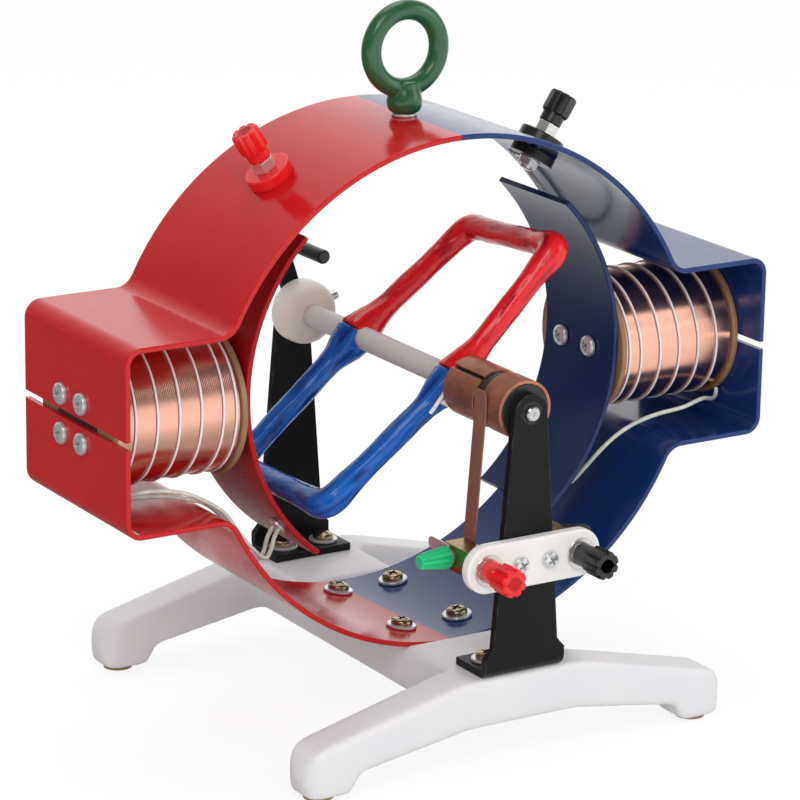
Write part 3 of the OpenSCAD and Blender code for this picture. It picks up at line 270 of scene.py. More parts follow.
class Form:
    """A mesh in the making, in millimetres."""

    MERGE = 0.002
    FLAT = math.radians(0.4)
    SHARP = math.radians(35.0)

    def __init__(self) -> None:
        """Starts empty."""
        self.bm = bmesh.new()

    def whole(self) -> list[Any]:
        """All corners, edges and faces."""
        return self.bm.verts[:] + self.bm.edges[:] + self.bm.faces[:]

    def merged(self) -> "Form":
        """Merges corners that lie on one another."""
        bmesh.ops.remove_doubles(self.bm, verts=self.bm.verts[:], dist=self.MERGE)
        return self

    def closed(self, edges: Sequence[Any]) -> "Form":
        """Fills the holes among some edges."""
        bmesh.ops.holes_fill(self.bm, edges=edges, sides=0)
        return self

    def outwards(self) -> "Form":
        """Turns all faces outwards."""
        bmesh.ops.recalc_face_normals(self.bm, faces=self.bm.faces[:])
        return self

    def extruded(self, loop: Sequence[Any]) -> tuple[list[Any], list[Any]]:
        """Grows a wall from a loop of edges.

        Args:
            loop: Edges of the loop.

        Returns:
            Corners and edges of the new loop, which still lies on the old one.
        """
        grown = bmesh.ops.extrude_edge_only(self.bm, edges=loop)["geom"]
        ring = only(BMVert, grown)
        fresh = set(ring)
        return ring, [edge for edge in only(BMEdge, grown) if fresh.issuperset(edge.verts)]

    def spun(self, geom: Sequence[Any], axis: Axis, steps: int, advance: float = 0.0) -> "Form":
        """Turns a profile once round an axis.

        Args:
            geom: Corners and edges of the profile.
            axis: The axis through the origin.
            steps: Steps of the full turn.
            advance: How far each step moves along the axis.

        Returns:
            The form itself, with the ends of a turn merged if nothing advances.
        """
        line = Vector(axis.value)
        bmesh.ops.spin(
            self.bm, geom=geom, cent=(0, 0, 0), axis=line, dvec=line * advance, angle=math.tau, steps=steps,
            use_merge=not advance, use_duplicate=False,
        )
        return self

    @classmethod
    def lathe(cls, profile: Outline, steps: int) -> "Form":
        """Spins a profile round the Z axis.

        Args:
            profile: Points of radius and height, in order.
            steps: Steps of the full turn.

        Returns:
            The turned form.
        """
        form = cls()
        verts = [form.bm.verts.new((r, 0.0, h)) for r, h in profile]
        edges = [form.bm.edges.new(pair) for pair in zip(verts, verts[1:])]
        return form.spun(verts + edges, Axis.UP, steps).merged().outwards()

    @classmethod
    def prism(cls, outline: Outline, depth: float) -> "Form":
        """Raises a flat outline along Z.

        Args:
            outline: The closed outline's points.
            depth: Height of the prism.

        Returns:
            The closed prism.
        """
        form = cls()
        face = form.bm.faces.new([form.bm.verts.new((x, y, 0.0)) for x, y in outline])
        grown = bmesh.ops.extrude_face_region(form.bm, geom=[face])["geom"]
        bmesh.ops.translate(form.bm, verts=only(BMVert, grown), vec=(0, 0, depth))
        return form.merged().outwards()

    @classmethod
    def swept(cls, section: Outline, frames: Sequence[Matrix]) -> "Form":
        """Carries a closed section from frame to frame, one extrusion at a time.

        Args:
            section: Points of the section.
            frames: Places of the section, which may also scale it.

        Returns:
            The form with both ends closed.
        """
        form = cls()
        verts = [form.bm.verts.new((x, y, 0.0)) for x, y in section]
        loop = list(form.bm.faces.new(verts).edges)
        bmesh.ops.transform(form.bm, matrix=frames[0], verts=verts)
        for before, after in zip(frames, frames[1:]):
            ring, loop = form.extruded(loop)
            bmesh.ops.transform(form.bm, matrix=after @ before.inverted(), verts=ring)
        return form.closed(loop).outwards()

    @classmethod
    def strip(cls, path: Outline, width: float, thick: float, edge: float, y: float) -> "Form":
        """A bent strip of sheet with rounded edges, upright on the XZ plane.

        Args:
            path: Middle line of the sheet in X and Z.
            width: Width along Y.
            thick: Thickness of the sheet.
            edge: Radius of its edges.
            y: Middle of the strip along Y.

        Returns:
            The closed strip.
        """
        w, t = width / 2 - edge, thick / 2 - edge
        section: list[tuple[float, float]] = []
        for sx, sy, start in ((1, 1, 0), (-1, 1, 90), (-1, -1, 180), (1, -1, 270)):
            section += arc(sx * w, sy * t, edge, start, start + 90, 30)
        points = [Vector((x, y, z)) for x, z in path]
        return cls.swept(section, path_frames(points, Vector(Axis.AWAY.value)))

    @classmethod
    def wound(cls, section: Outline, r: float, x0: float, pitches: Sequence[float], per: int) -> "Form":
        """A wire wound about the X axis, turn by turn.

        Args:
            section: The wire's section, outwards and along.
            r: Radius to the middle of the wire.
            x0: Where the first turn starts.
            pitches: Advance of each turn.
            per: Steps of one turn.

        Returns:
            The wire with both ends closed.
        """
        form = cls()
        for pitch in pitches:
            turn = cls()
            verts = [turn.bm.verts.new((x0 + b, 0.0, r + a)) for a, b in section]
            loop = [turn.bm.edges.new(pair) for pair in zip(verts, verts[1:] + verts[:1])]
            form.joined(turn.spun(verts + loop, Axis.RIGHT, per, pitch / per))
            turn.bm.free()
            x0 += pitch
        form.merged()
        return form.closed([edge for edge in form.bm.edges if edge.is_boundary]).outwards()

    @classmethod
    def of_node(cls, bench: "Bench", node: str) -> "Form":
        """A merged copy of a solid of the frame.

        Args:
            bench: The bench that holds the frame.
            node: Name of the solid.

        Returns:
            Its form, with flat faces made whole.
        """
        form = cls()
        form.bm.from_mesh(bench.nodes[node].data)
        bmesh.ops.scale(form.bm, vec=(1 / MM,) * 3, verts=form.bm.verts[:])
        bm = form.merged().bm
        bmesh.ops.dissolve_limit(bm, angle_limit=cls.FLAT, verts=bm.verts[:], edges=bm.edges[:])
        return form

    def bevelled(self, edges: Sequence[Any], width: float, segments: int) -> "Form":
        """Rounds the given edges.

        Args:
            edges: The edges.
            width: Width of the rounding on either face.
            segments: Steps of the rounding.

        Returns:
            The form itself.
        """
        bmesh.ops.bevel(
            self.bm, geom=edges, offset=width, offset_type="OFFSET", segments=segments, profile=0.5,
            affect="EDGES", clamp_overlap=True, material=-1,
        )
        return self

    def rounded(self, width: float, segments: int = 2) -> "Form":
        """Rounds every sharp edge."""
        sharp = [edge for edge in self.bm.edges if edge.is_manifold and edge.calc_face_angle() > self.SHARP]
        return self.bevelled(sharp, width, segments)

    def placed(self, *places: Matrix) -> "Form":
        """Moves the form to its place, with a copy for every further place.

        Args:
            places: The places, each a matrix.

        Returns:
            The form itself.
        """
        first = self.whole()
        spare = [bmesh.ops.duplicate(self.bm, geom=first)["geom"] for _ in places[1:]]
        for place, geom in zip(places, [first] + spare):
            bmesh.ops.transform(self.bm, matrix=place, verts=only(BMVert, geom))
        return self

    def mirrored(self) -> "Form":
        """Turns a form for the blue side into one for the red side.

        Returns:
            The form itself.
        """
        bmesh.ops.scale(self.bm, vec=(-1, 1, 1), verts=self.bm.verts[:])
        bmesh.ops.reverse_faces(self.bm, faces=self.bm.faces[:])
        return self

    def joined(self, *others: "Form") -> "Form":
        """Takes further forms into this one.

        Args:
            others: The forms, which stay as they are.

        Returns:
            The form itself.
        """
        for other in others:
            spare = bpy.data.meshes.new("spare")
            other.bm.to_mesh(spare)
            self.bm.from_mesh(spare)
            bpy.data.meshes.remove(spare)
        return self

    def blank(self) -> bpy.types.Object:
        """Copies the form to a passing object, for a modifier.

        Returns:
            The object, linked to the scene.
        """
        mesh = bpy.data.meshes.new("blank")
        self.bm.to_mesh(mesh)
        blank = bpy.data.objects.new("blank", mesh)
        bpy.context.scene.collection.objects.link(blank)
        return blank

    def modified(self, kind: str, **settings: Any) -> "Form":
        """Runs one of the modelling modifiers over the form.

        Args:
            kind: Type of the modifier.
            settings: Its settings.

        Returns:
            The form itself.
        """
        blank = self.blank()
        tool = blank.modifiers.new("tool", kind)
        for name, value in settings.items():
            setattr(tool, name, value)
        result = blank.evaluated_get(bpy.context.evaluated_depsgraph_get())
        done = bpy.data.meshes.new_from_object(result)
        self.bm.clear()
        self.bm.from_mesh(done)
        bpy.data.meshes.remove(blank.data)
        bpy.data.meshes.remove(done)
        return self

    def fused(self, grain: float, rounds: int) -> "Form":
        """Casts the form in one skin and rubs its edges and corners round.

        Args:
            grain: Size of the skin's faces.
            rounds: How often the skin is smoothed.

        Returns:
            The form itself.
        """
        self.modified("REMESH", mode="VOXEL", voxel_size=grain)
        axes = {f"use_axis_{axis}": True for axis in "xyz"}
        for _ in range(rounds):
            bmesh.ops.smooth_vert(self.bm, verts=self.bm.verts[:], factor=0.5, **axes)
        return self

    def cut(self, other: "Form") -> "Form":
        """Takes another form's room out of this one.

        Args:
            other: The form that is cut away.

        Returns:
            The form itself.
        """
        cutter = other.blank()
        self.modified("BOOLEAN", operation="DIFFERENCE", object=cutter, solver="EXACT")
        bpy.data.meshes.remove(cutter.data)
        return self


def bare_tree(owner: bpy.types.Material | bpy.types.World) -> Tree:
    """Empties the node tree of a material or a world.

    Args:
        owner: The material or world.

    Returns:
        Its tree, without nodes.
    """
    owner.use_nodes = True
    owner.node_tree.nodes.clear()
    return owner.node_tree


def feed(tree: Tree, target: Socket, value: Any) -> None:
    """Links a socket to an input, or gives the input a value.

    Args:
        tree: Tree that holds both.
        target: The input.
        value: A socket or a value, with a colour as three numbers.
    """
    if isinstance(value, Socket):
        tree.links.new(value, target)
    else:
        target.default_value = (*value, 1.0) if target.type == "RGBA" else value


def add(tree: Tree, kind: str, *feeds: Any, **settings: Any) -> bpy.types.Node:
    """Adds a shader node.

    Args:
        tree: Tree of the material, group or world.
        kind: Node type without its common prefix.
        feeds: Sockets or values for the first inputs, with None to pass one over.
        settings: Properties, or sockets or values for inputs by name.

    Returns:
        The new node.
    """
    node = tree.nodes.new("ShaderNode" + kind)
    for name, value in settings.items():
        title = name.replace("_", " ")
        if title in node.inputs:
            feed(tree, node.inputs[title], value)
        else:
            setattr(node, name, value)
    for target, value in zip(node.inputs, feeds):
        if value is not None:
            feed(tree, target, value)
    return node


def maths(tree: Tree, operation: str, *values: Any) -> Socket:
    """Works out one value from others."""
    return add(tree, "Math", *values, operation=operation).outputs[0]


def along(tree: Tree, a: Any, b: Any) -> Socket:
    """The dot product of two directions."""
    return add(tree, "VectorMath", a, b, operation="DOT_PRODUCT").outputs["Value"]


def ramp(tree: Tree, *values: Any, kind: str = "LINEAR") -> Socket:
    """Maps a value from one range to another, in the order of the node's inputs."""
    return add(tree, "MapRange", *values, interpolation_type=kind).outputs["Result"]


def spread(tree: Tree, value: Socket, low: float, high: float) -> Socket:
    """Stretches a range of values softly over 0 to 1."""
    return ramp(tree, value, low, high, kind="SMOOTHSTEP")


def mixed(tree: Tree, share: Socket, a: Any, b: Any) -> Socket:
    """Mixes two colours.

    Args:
        tree: Tree of the material or group.
        share: How much of the second colour shows.
        a: First colour, a value or a socket.
        b: Second colour, a value or a socket.

    Returns:
        The mixed colour.
    """
    node = add(tree, "Mix", share, data_type="RGBA")
    feed(tree, node.inputs[6], a)
    feed(tree, node.inputs[7], b)
    return node.outputs[2]


class Effect(Enum):
    """Shader effects that several finishes share, each with its own values."""

    PATCHES = "patchy_colour"
    GLOSS = "uneven_gloss"
    RELIEF = "fine_relief"
    # Edge colour: wear on most finishes, a painted highlight on the red and blue paints.
    WEAR_AND_SHEEN = "edge_wear"
    SCUFFS = "dark_scuffs"

    def placed(self, tree: Tree, **values: Any) -> Socket:
        """Places the effect in a material, with its group built at its first use.

        Args:
            tree: The material's tree.
            values: Values or sockets for the group's inputs, by name.

        Returns:
            The group's output.
        """
        group = bpy.data.node_groups.get(self.value) or getattr(EffectMaker(self.value), self.value)()
        return add(tree, "Group", node_tree=group, **values).outputs[0]


class EffectMaker:
    """Builds the node group of one effect."""

    def __init__(self, name: str) -> None:
        """Starts an empty group with its two ends.

        Args:
            name: Name of the group.
        """
        self.tree = bpy.data.node_groups.new(name, "ShaderNodeTree")
        self.ins = self.tree.nodes.new("NodeGroupInput")
        self.outs = self.tree.nodes.new("NodeGroupOutput")

    def inputs(self, **kinds: str) -> list[Socket]:
        """Names the group's inputs.

        Args:
            kinds: Socket type of each input, by name.

        Returns:
            The inputs, as sockets inside the group.
        """
        for name, kind in kinds.items():
            self.tree.interface.new_socket(name, in_out="INPUT", socket_type="NodeSocket" + kind)
        return [self.ins.outputs[name] for name in kinds]

    def result(self, name: str, kind: str, value: Socket) -> Tree:
        """Ends the group with its one output.

        Args:
            name: Name of the output.
            kind: Its socket type.
            value: Socket that feeds it.

        Returns:
            The finished group.
        """
        self.tree.interface.new_socket(name, in_out="OUTPUT", socket_type="NodeSocket" + kind)
        feed(self.tree, self.outs.inputs[name], value)
        return self.tree

    def cloud(self, scale: Socket | float, detail: float, stretch: Socket | None = None) -> Socket:
        """Noise over the piece's own coordinates.

        Args:
            scale: Scale of the noise, a number or a socket.
            detail: Octaves of the noise.
            stretch: Socket of a stretch for each axis, or nothing.

        Returns:
            The socket of the noise's value.
        """
        place = add(self.tree, "TexCoord").outputs["Object"]
        if stretch is not None:
            place = add(self.tree, "VectorMath", place, stretch, operation="MULTIPLY").outputs[0]
        cloud = add(self.tree, "TexNoise", Vector=place, Scale=scale, Detail=detail, Roughness=0.6)
        return cloud.outputs["Fac"]

    def patches(self, low: float, high: float, *cloud: Any) -> Socket:
        """Noise whose values from low to high are stretched over 0 to 1."""
        return spread(self.tree, self.cloud(*cloud), low, high)

    def times(self, *values: Socket) -> Socket:
        """Multiplies two values."""
        return maths(self.tree, "MULTIPLY", *values)

    def patchy_colour(self) -> Tree:
        """A colour that drifts towards a second one in soft patches.

        Returns:
            The finished group.
        """
        colour, second, scale, amount = self.inputs(
            Colour="Color", Second="Color", Scale="Float", Amount="Float",
        )
        share = self.times(self.patches(0.3, 0.7, scale, 4.0), amount)
        return self.result("Colour", "Color", mixed(self.tree, share, colour, second))

    def uneven_gloss(self) -> Tree:
        """A roughness that wanders between two values.

        Returns:
            The finished group.
        """
        low, high, scale = self.inputs(Low="Float", High="Float", Scale="Float")
        share = self.patches(0.25, 0.75, scale, 6.0)
        return self.result("Roughness", "Float", ramp(self.tree, share, 0.0, 1.0, low, high))

    def fine_relief(self) -> Tree:
        """A fine height, drawn out by a stretch for each axis."""
        stretch, scale = self.inputs(Stretch="Vector", Scale="Float")
        return self.result("Height", "Float", self.cloud(scale, 5.0, stretch))

    def edge_wear(self) -> Tree:
        """A colour turned to another one along the edges: wear on most finishes, a painted highlight on the
        red and blue paints.

        Returns:
            The finished group.
        """
        colour, wear_and_sheen_colour, width, amount = self.inputs(
            Colour="Color", Worn="Color", Width="Float", Amount="Float",
        )
        soft = add(self.tree, "Bevel", samples=4, Radius=width).outputs["Normal"]
        flat = add(self.tree, "NewGeometry").outputs["Normal"]
        edge = spread(self.tree, along(self.tree, soft, flat), 0.985, 0.86)
        # The edge colour lands here: wear on most finishes, a painted highlight on the red and blue paints.
        wear_and_sheen_edges = self.times(edge, self.patches(0.42, 0.62, 160.0, 5.0))
        return self.result("Colour", "Color", mixed(self.tree, self.times(wear_and_sheen_edges, amount), colour, wear_and_sheen_colour))

    def dark_scuffs(self) -> Tree:
        """Sparse short rub marks on a colour.

        Returns:
            The finished group.
        """
        colour, mark, stretch, amount = self.inputs(
            Colour="Color", Mark="Color", Stretch="Vector", Amount="Float",
        )
        thin = self.patches(0.715, 0.75, 9.0, 3.0, stretch)
        here = self.patches(0.56, 0.66, 22.0, 2.0)
        share = self.times(self.times(thin, here), amount)
        return self.result("Colour", "Color", mixed(self.tree, share, colour, mark))


@dataclass(frozen=True)
class Finish:
    """One finish: its colours, gloss, relief, and edge colour, which is wear on most finishes and a painted
    highlight on the red and blue paints, with lengths in metres.
    """

    name: str
    slot: str
    colour: Colour
    second: Colour
    rough: tuple[float, float] = (0.3, 0.42)
    metallic: float = 0.0
    specular: float = 0.5
    coat: float = 0.0
    coat_rough: float = 0.1
    patch_scale: float = 45.0
    patch_amount: float = 0.6
    relief: float = 0.05
    relief_scale: float = 900.0
    relief_depth: float = 0.0004
    stretch: tuple[float, float, float] = (1.0, 1.0, 1.0)
    # Edge colour and its spread: wear on most finishes, a painted highlight on the red and blue paints.
    wear_and_sheen_colour: Colour | None = None
    wear_and_sheen_width: float = 0.0008
    wear_and_sheen_amount: float = 0.6
    mark: Colour | None = None
    mark_stretch: tuple[float, float, float] = (3.0, 11.0, 4.0)
    mark_amount: float = 0.55
    subsurface: float = 0.0
    subsurface_depth: float = 0.004

    def patchy(self, tree: Tree, colour: Colour, second: Colour) -> Socket:
        """A colour in soft patches of a second one."""
        scale, amount = self.patch_scale, self.patch_amount
        return Effect.PATCHES.placed(tree, Colour=colour, Second=second, Scale=scale, Amount=amount)

    def wear_and_sheen_edges(self, tree: Tree, colour: Socket, wear_and_sheen_colour: Colour) -> Socket:
        """A colour turned to another one along the edges: wear, and on the red and blue paints a painted
        highlight.
        """
        width, amount = self.wear_and_sheen_width, self.wear_and_sheen_amount
        return Effect.WEAR_AND_SHEEN.placed(tree, Colour=colour, Worn=wear_and_sheen_colour, Width=width, Amount=amount)

    def coloured(self, tree: Tree) -> Socket:
        """The plain colour, before wear and marks."""
        return self.patchy(tree, self.colour, self.second)

    def material(self) -> bpy.types.Material:
        """Builds the finish as a material at its first use.

        Returns:
            The material.
        """
        made = bpy.data.materials.get(self.name)
        if made:
            return made
        made = bpy.data.materials.new(self.name)
        tree = bare_tree(made)
        colour = self.coloured(tree)
        if self.mark:
            colour = Effect.SCUFFS.placed(
                tree, Colour=colour, Mark=self.mark, Stretch=self.mark_stretch, Amount=self.mark_amount,
            )
        if self.wear_and_sheen_colour:
            colour = self.wear_and_sheen_edges(tree, colour, self.wear_and_sheen_colour)
        low, high = self.rough
        gloss = Effect.GLOSS.placed(tree, Low=low, High=high, Scale=self.patch_scale * 3)
        height = Effect.RELIEF.placed(tree, Stretch=self.stretch, Scale=self.relief_scale)
        bump = add(tree, "Bump", Strength=self.relief, Distance=self.relief_depth, Height=height)
        skin = add(
            tree, "BsdfPrincipled", Base_Color=colour, Roughness=gloss, Normal=bump.outputs["Normal"],
            Metallic=self.metallic, Specular_IOR_Level=self.specular, Coat_Weight=self.coat,
            Coat_Roughness=self.coat_rough, Subsurface_Weight=self.subsurface,
            Subsurface_Scale=self.subsurface_depth,
        )
        add(tree, "OutputMaterial", Surface=skin.outputs[0])
        return made


@dataclass(frozen=True)
class TwoTonePaint(Finish):
    """Paint in two colours that meet on a line across the strip, placed in millimetres, with a painted
    highlight along its edges.
    """

    blue: Colour = (0.0, 0.0, 0.0)
    blue_second: Colour = (0.0, 0.0, 0.0)
    # Lighter red and blue for the strip's edges: a painted highlight.
    red_edge_highlight: Colour = (0.66, 0.03, 0.04)
    blue_edge_highlight: Colour = (0.004, 0.10, 0.40)
    line_x: float = 0.0
    line_slope: float = 0.0
    line_soft: float = 0.35

    def coloured(self, tree: Tree) -> Socket:
        """Red on one side of the line and blue on the other, each painted lighter along the edges as a
        painted highlight.

        Args:
            tree: The material's tree.

        Returns:
            The colour's socket.
        """
        # Each colour is painted lighter along the edges: a painted highlight.
        red = self.wear_and_sheen_edges(tree, super().coloured(tree), self.red_edge_highlight)
        blue = self.wear_and_sheen_edges(tree, self.patchy(tree, self.blue, self.blue_second), self.blue_edge_highlight)
        place = add(tree, "SeparateXYZ", add(tree, "TexCoord").outputs["Object"]).outputs
        line = maths(tree, "MULTIPLY_ADD", place["Y"], -self.line_slope, place["X"])
        low, high = self.line_x - self.line_soft, self.line_x + self.line_soft
        return mixed(tree, spread(tree, line, low * MM, high * MM), red, blue)


@dataclass(frozen=True)
class Tape(Finish):
    """Glossy tape, painted darker where the piece's own fold attribute marks the hollows of its folds:
    painted shade.
    """

    fold_and_shade: Colour = (0.0, 0.0, 0.0)
    fold_shade_from: float = 0.48
    fold_shade_to: float = 0.22

    def coloured(self, tree: Tree) -> Socket:
        """Patchy colour, painted darker in the hollows of the folds as painted shade.

        Args:
            tree: The material's tree.

        Returns:
            The colour's socket.
        """
        # The fold value picks the hollows, which are painted darker: painted shade.
        depth = add(tree, "Attribute", attribute_name="fold_and_shade").outputs["Fac"]
        share = spread(tree, depth, self.fold_shade_from, self.fold_shade_to)
        return mixed(tree, share, super().coloured(tree), self.fold_and_shade)


# The ring paint: red and blue, painted lighter along the edges as a painted highlight, with dark scuffs.
UPPER_PAINT = TwoTonePaint(
    "upper_ring_paint", "ring_paint", (0.53, 0.008, 0.010), (0.46, 0.007, 0.009), (0.13, 0.20), specular=0.38,
    relief=0.02, relief_scale=260.0, mark=(0.02, 0.015, 0.02), wear_and_sheen_amount=0.9,
    blue=(0.008, 0.033, 0.155), blue_second=(0.007, 0.028, 0.130), line_x=-0.9, line_slope=0.032,
)
LOWER_PAINT = replace(UPPER_PAINT, name="lower_ring_paint", line_x=-5.1, line_slope=-0.10)
# The shoes' lighter red and blue along the edges are a painted highlight.
SHOE_RED = Finish(
    "shoe_red_paint", "red_paint", (0.40, 0.007, 0.012), (0.34, 0.006, 0.010), (0.26, 0.36), specular=0.2,
    relief=0.02, relief_scale=260.0, wear_and_sheen_colour=(0.62, 0.02, 0.025),
)
SHOE_BLUE = replace(
    SHOE_RED, name="shoe_blue_paint", slot="blue_paint", colour=(0.007, 0.022, 0.095),
    second=(0.006, 0.018, 0.080), rough=(0.16, 0.24), specular=0.38, wear_and_sheen_colour=(0.02, 0.08, 0.30),
)
CASTING = Finish(
    "white_casting_paint", "white_casting", (0.77, 0.76, 0.775), (0.73, 0.715, 0.735), (0.34, 0.46),
    coat=0.12,
    patch_scale=18.0, relief=0.10, relief_scale=120.0,
)
GREEN_ENAMEL = Finish(
    "green_eye_enamel", "green_paint", (0.018, 0.105, 0.034), (0.013, 0.080, 0.026), (0.24, 0.34), coat=0.35,
    relief=0.06, relief_scale=300.0,
)
BLACK_PAINT = Finish(
    "black_sheet_paint", "black_paint", (0.008, 0.008, 0.009), (0.011, 0.011, 0.012), (0.30, 0.42),
    specular=0.16,
    relief=0.05, relief_scale=700.0, wear_and_sheen_colour=(0.16, 0.16, 0.165), wear_and_sheen_width=0.0006, wear_and_sheen_amount=0.8,
)
WIRE = Finish(
    "enamelled_copper_wire", "copper_wire", (0.92, 0.505, 0.39), (0.86, 0.43, 0.32), (0.20, 0.26),
    metallic=1.0,
    patch_scale=30.0, relief=0.0,
)
THREAD = Finish(
    "white_binding_thread", "white_thread", (0.90, 0.88, 0.87), (0.82, 0.79, 0.78), (0.55, 0.7),
    relief=0.3, relief_scale=2500.0,
)
FIBRE = Finish(
    "tan_bobbin_fibre", "fibre", (0.36, 0.205, 0.11), (0.26, 0.135, 0.065), (0.5, 0.65), patch_scale=120.0,
    relief=0.15, relief_scale=500.0, stretch=(6.0, 1.0, 1.0), wear_and_sheen_colour=(0.55, 0.38, 0.24), wear_and_sheen_width=0.0006,
)
IRON = Finish("core_iron", "iron", (0.16, 0.155, 0.15), (0.11, 0.105, 0.10), (0.4, 0.55), metallic=1.0)
STEEL = Finish(
    "bright_steel", "steel", (0.60, 0.60, 0.60), (0.52, 0.52, 0.525), (0.20, 0.32), metallic=1.0,
    relief=0.05, stretch=(0.05, 4.0, 0.05),
)
ZINC = Finish(
    "bright_zinc", "zinc", (0.80, 0.81, 0.82), (0.68, 0.69, 0.70), (0.28, 0.40), metallic=0.72,
    patch_scale=260.0,
    relief=0.06,
)
NICKEL = Finish(
    "nickel_plate", "nickel", (0.76, 0.74, 0.70), (0.66, 0.64, 0.60), (0.18, 0.28), metallic=0.8, relief=0.02,
)
PASSIVATED = Finish(
    "yellow_passivated_steel", "steel", (0.44, 0.355, 0.22), (0.33, 0.27, 0.19), (0.18, 0.32), metallic=1.0,
    patch_scale=420.0, relief=0.04,
)
BRASS = Finish(
    "dull_brass", "brass", (0.46, 0.315, 0.13), (0.36, 0.235, 0.095), (0.28, 0.42), metallic=1.0,
    patch_scale=200.0, relief=0.06, stretch=(1.0, 0.1, 1.0), wear_and_sheen_colour=(0.62, 0.47, 0.24), wear_and_sheen_width=0.0004,
)
OILED_BUSH = Finish(
    "oiled_bush_metal", "brass", (0.018, 0.017, 0.016), (0.045, 0.040, 0.034), (0.24, 0.38), metallic=0.5,
    patch_scale=260.0, relief=0.06, wear_and_sheen_colour=(0.30, 0.28, 0.25), wear_and_sheen_width=0.0004,
)
BOARD = Finish(
    "cream_board_plastic", "cream_board", (0.84, 0.82, 0.80), (0.81, 0.79, 0.77), (0.28, 0.38), relief=0.03,
    subsurface=0.06,
)
CAP_RED = Finish(
    "red_cap_plastic", "red_plastic", (0.80, 0.012, 0.014), (0.72, 0.010, 0.012), (0.20, 0.30), coat=0.2,
    relief=0.03, subsurface=0.02,
)
CAP_BLACK = Finish(
    "black_cap_plastic", "black_plastic", (0.014, 0.014, 0.015), (0.019, 0.019, 0.020), (0.24, 0.34),
    relief=0.04,
)
KNOB_GREEN = Finish(
    "green_knob_plastic", "green_plastic", (0.020, 0.55, 0.215), (0.017, 0.49, 0.19), (0.26, 0.36),
    relief=0.03,
    subsurface=0.05,
)
STRIP_COPPER = Finish(
    "brown_brush_copper", "brush_copper", (0.46, 0.215, 0.15), (0.36, 0.155, 0.105), (0.38, 0.52),
    metallic=0.6,
    patch_scale=110.0, relief=0.10, stretch=(1.0, 1.0, 0.08), wear_and_sheen_colour=(0.60, 0.32, 0.21), wear_and_sheen_width=0.0003,
)
RING_COPPER = Finish(
    "turned_ring_copper", "ring_copper", (0.54, 0.225, 0.135), (0.33, 0.125, 0.08), (0.30, 0.46),
    metallic=0.7,
    patch_scale=110.0, patch_amount=0.9, relief=0.16, stretch=(0.05, 3.0, 0.05), wear_and_sheen_colour=(0.85, 0.50, 0.36),
    wear_and_sheen_width=0.0006, wear_and_sheen_amount=1.0,
)
# The tapes' darker fold colours are painted shade for the hollows of the folds.
TAPE_RED = Tape(
    "red_loop_tape", "red_tape", (0.78, 0.014, 0.020), (0.66, 0.009, 0.014), (0.16, 0.28), specular=0.4,
    coat=0.15,
    patch_scale=60.0, patch_amount=0.7, relief=0.35, relief_scale=190.0, fold_and_shade=(0.44, 0.004, 0.010),
)
TAPE_BLUE = replace(
    TAPE_RED, name="blue_loop_tape", slot="blue_tape", colour=(0.005, 0.115, 0.48),
    second=(0.003, 0.078, 0.38),
    fold_and_shade=(0.002, 0.036, 0.22),
)
SLEEVE = Finish(
    "grey_shaft_sleeve", "grey_sleeve", (0.68, 0.66, 0.635), (0.62, 0.60, 0.58), (0.34, 0.46), relief=0.04,
    subsurface=0.05,
)
SLEEVING = Finish(
    "pale_lead_sleeving", "lead_sleeving", (0.72, 0.72, 0.66), (0.44, 0.48, 0.41), (0.24, 0.36), coat=0.3,
    patch_scale=230.0, patch_amount=0.75, relief=0.05,
)
NYLON = Finish(
    "white_hub_nylon", "nylon", (0.87, 0.85, 0.76), (0.83, 0.80, 0.70), (0.36, 0.48), relief=0.05,
    subsurface=0.15,
    stretch=(0.2, 3.0, 0.2),
)
RUBBER = Finish(
    "tan_foot_rubber", "pad_rubber", (0.42, 0.27, 0.15), (0.34, 0.21, 0.115), (0.6, 0.75), relief=0.2,
)


@dataclass
class Bench:
    """Holds the loaded frame and turns forms into pieces that ride on its bodies."""

    frame: dict[str, Any]
    made: list[str] = field(default_factory=list)

    @property
    def nodes(self) -> dict[str, bpy.types.Object]:
        """The frame's solids by name."""
        return self.frame["nodes"]

    def put(
        self, form: Form, name: str, finish: Finish, node: str, body: Body = Body.STAND,
        shading: Shading = Shading.SHEET,
    ) -> None:
        """Finishes a form as a piece of the object.

        Args:
            form: The form, in millimetres.
            name: Name of the piece.
            finish: Its finish.
            node: Solid that the piece stands for.
            body: Body that it rides on.
            shading: How its edges shade.
        """
        crease, even = shading.value
        bmesh.ops.scale(form.bm, vec=(MM,) * 3, verts=form.bm.verts[:])
        mesh = bpy.data.meshes.new(name)
        form.bm.to_mesh(mesh)
        form.bm.free()
        mesh.shade_smooth()
        mesh.set_sharp_from_angle(angle=math.radians(crease))
        mesh.materials.append(finish.material())
        piece = bpy.data.objects.new(name, mesh)
        bpy.context.scene.collection.objects.link(piece)
        if even:
            piece.modifiers.new("even_shading", "WEIGHTED_NORMAL").keep_sharp = True
        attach(piece, body.value)
        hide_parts(node)
        self.made.append(name)
        log.info("%s rides on %s", name, body.value)

    def paint(self, node: str, finish: Finish) -> None:
        """Gives a solid of the frame a finish as it is.

        Args:
            node: Name of the solid.
            finish: The finish.
        """
        mesh = self.nodes[node].data
        mesh.materials.clear()
        mesh.materials.append(finish.material())
        log.info("%s keeps its solid", node)


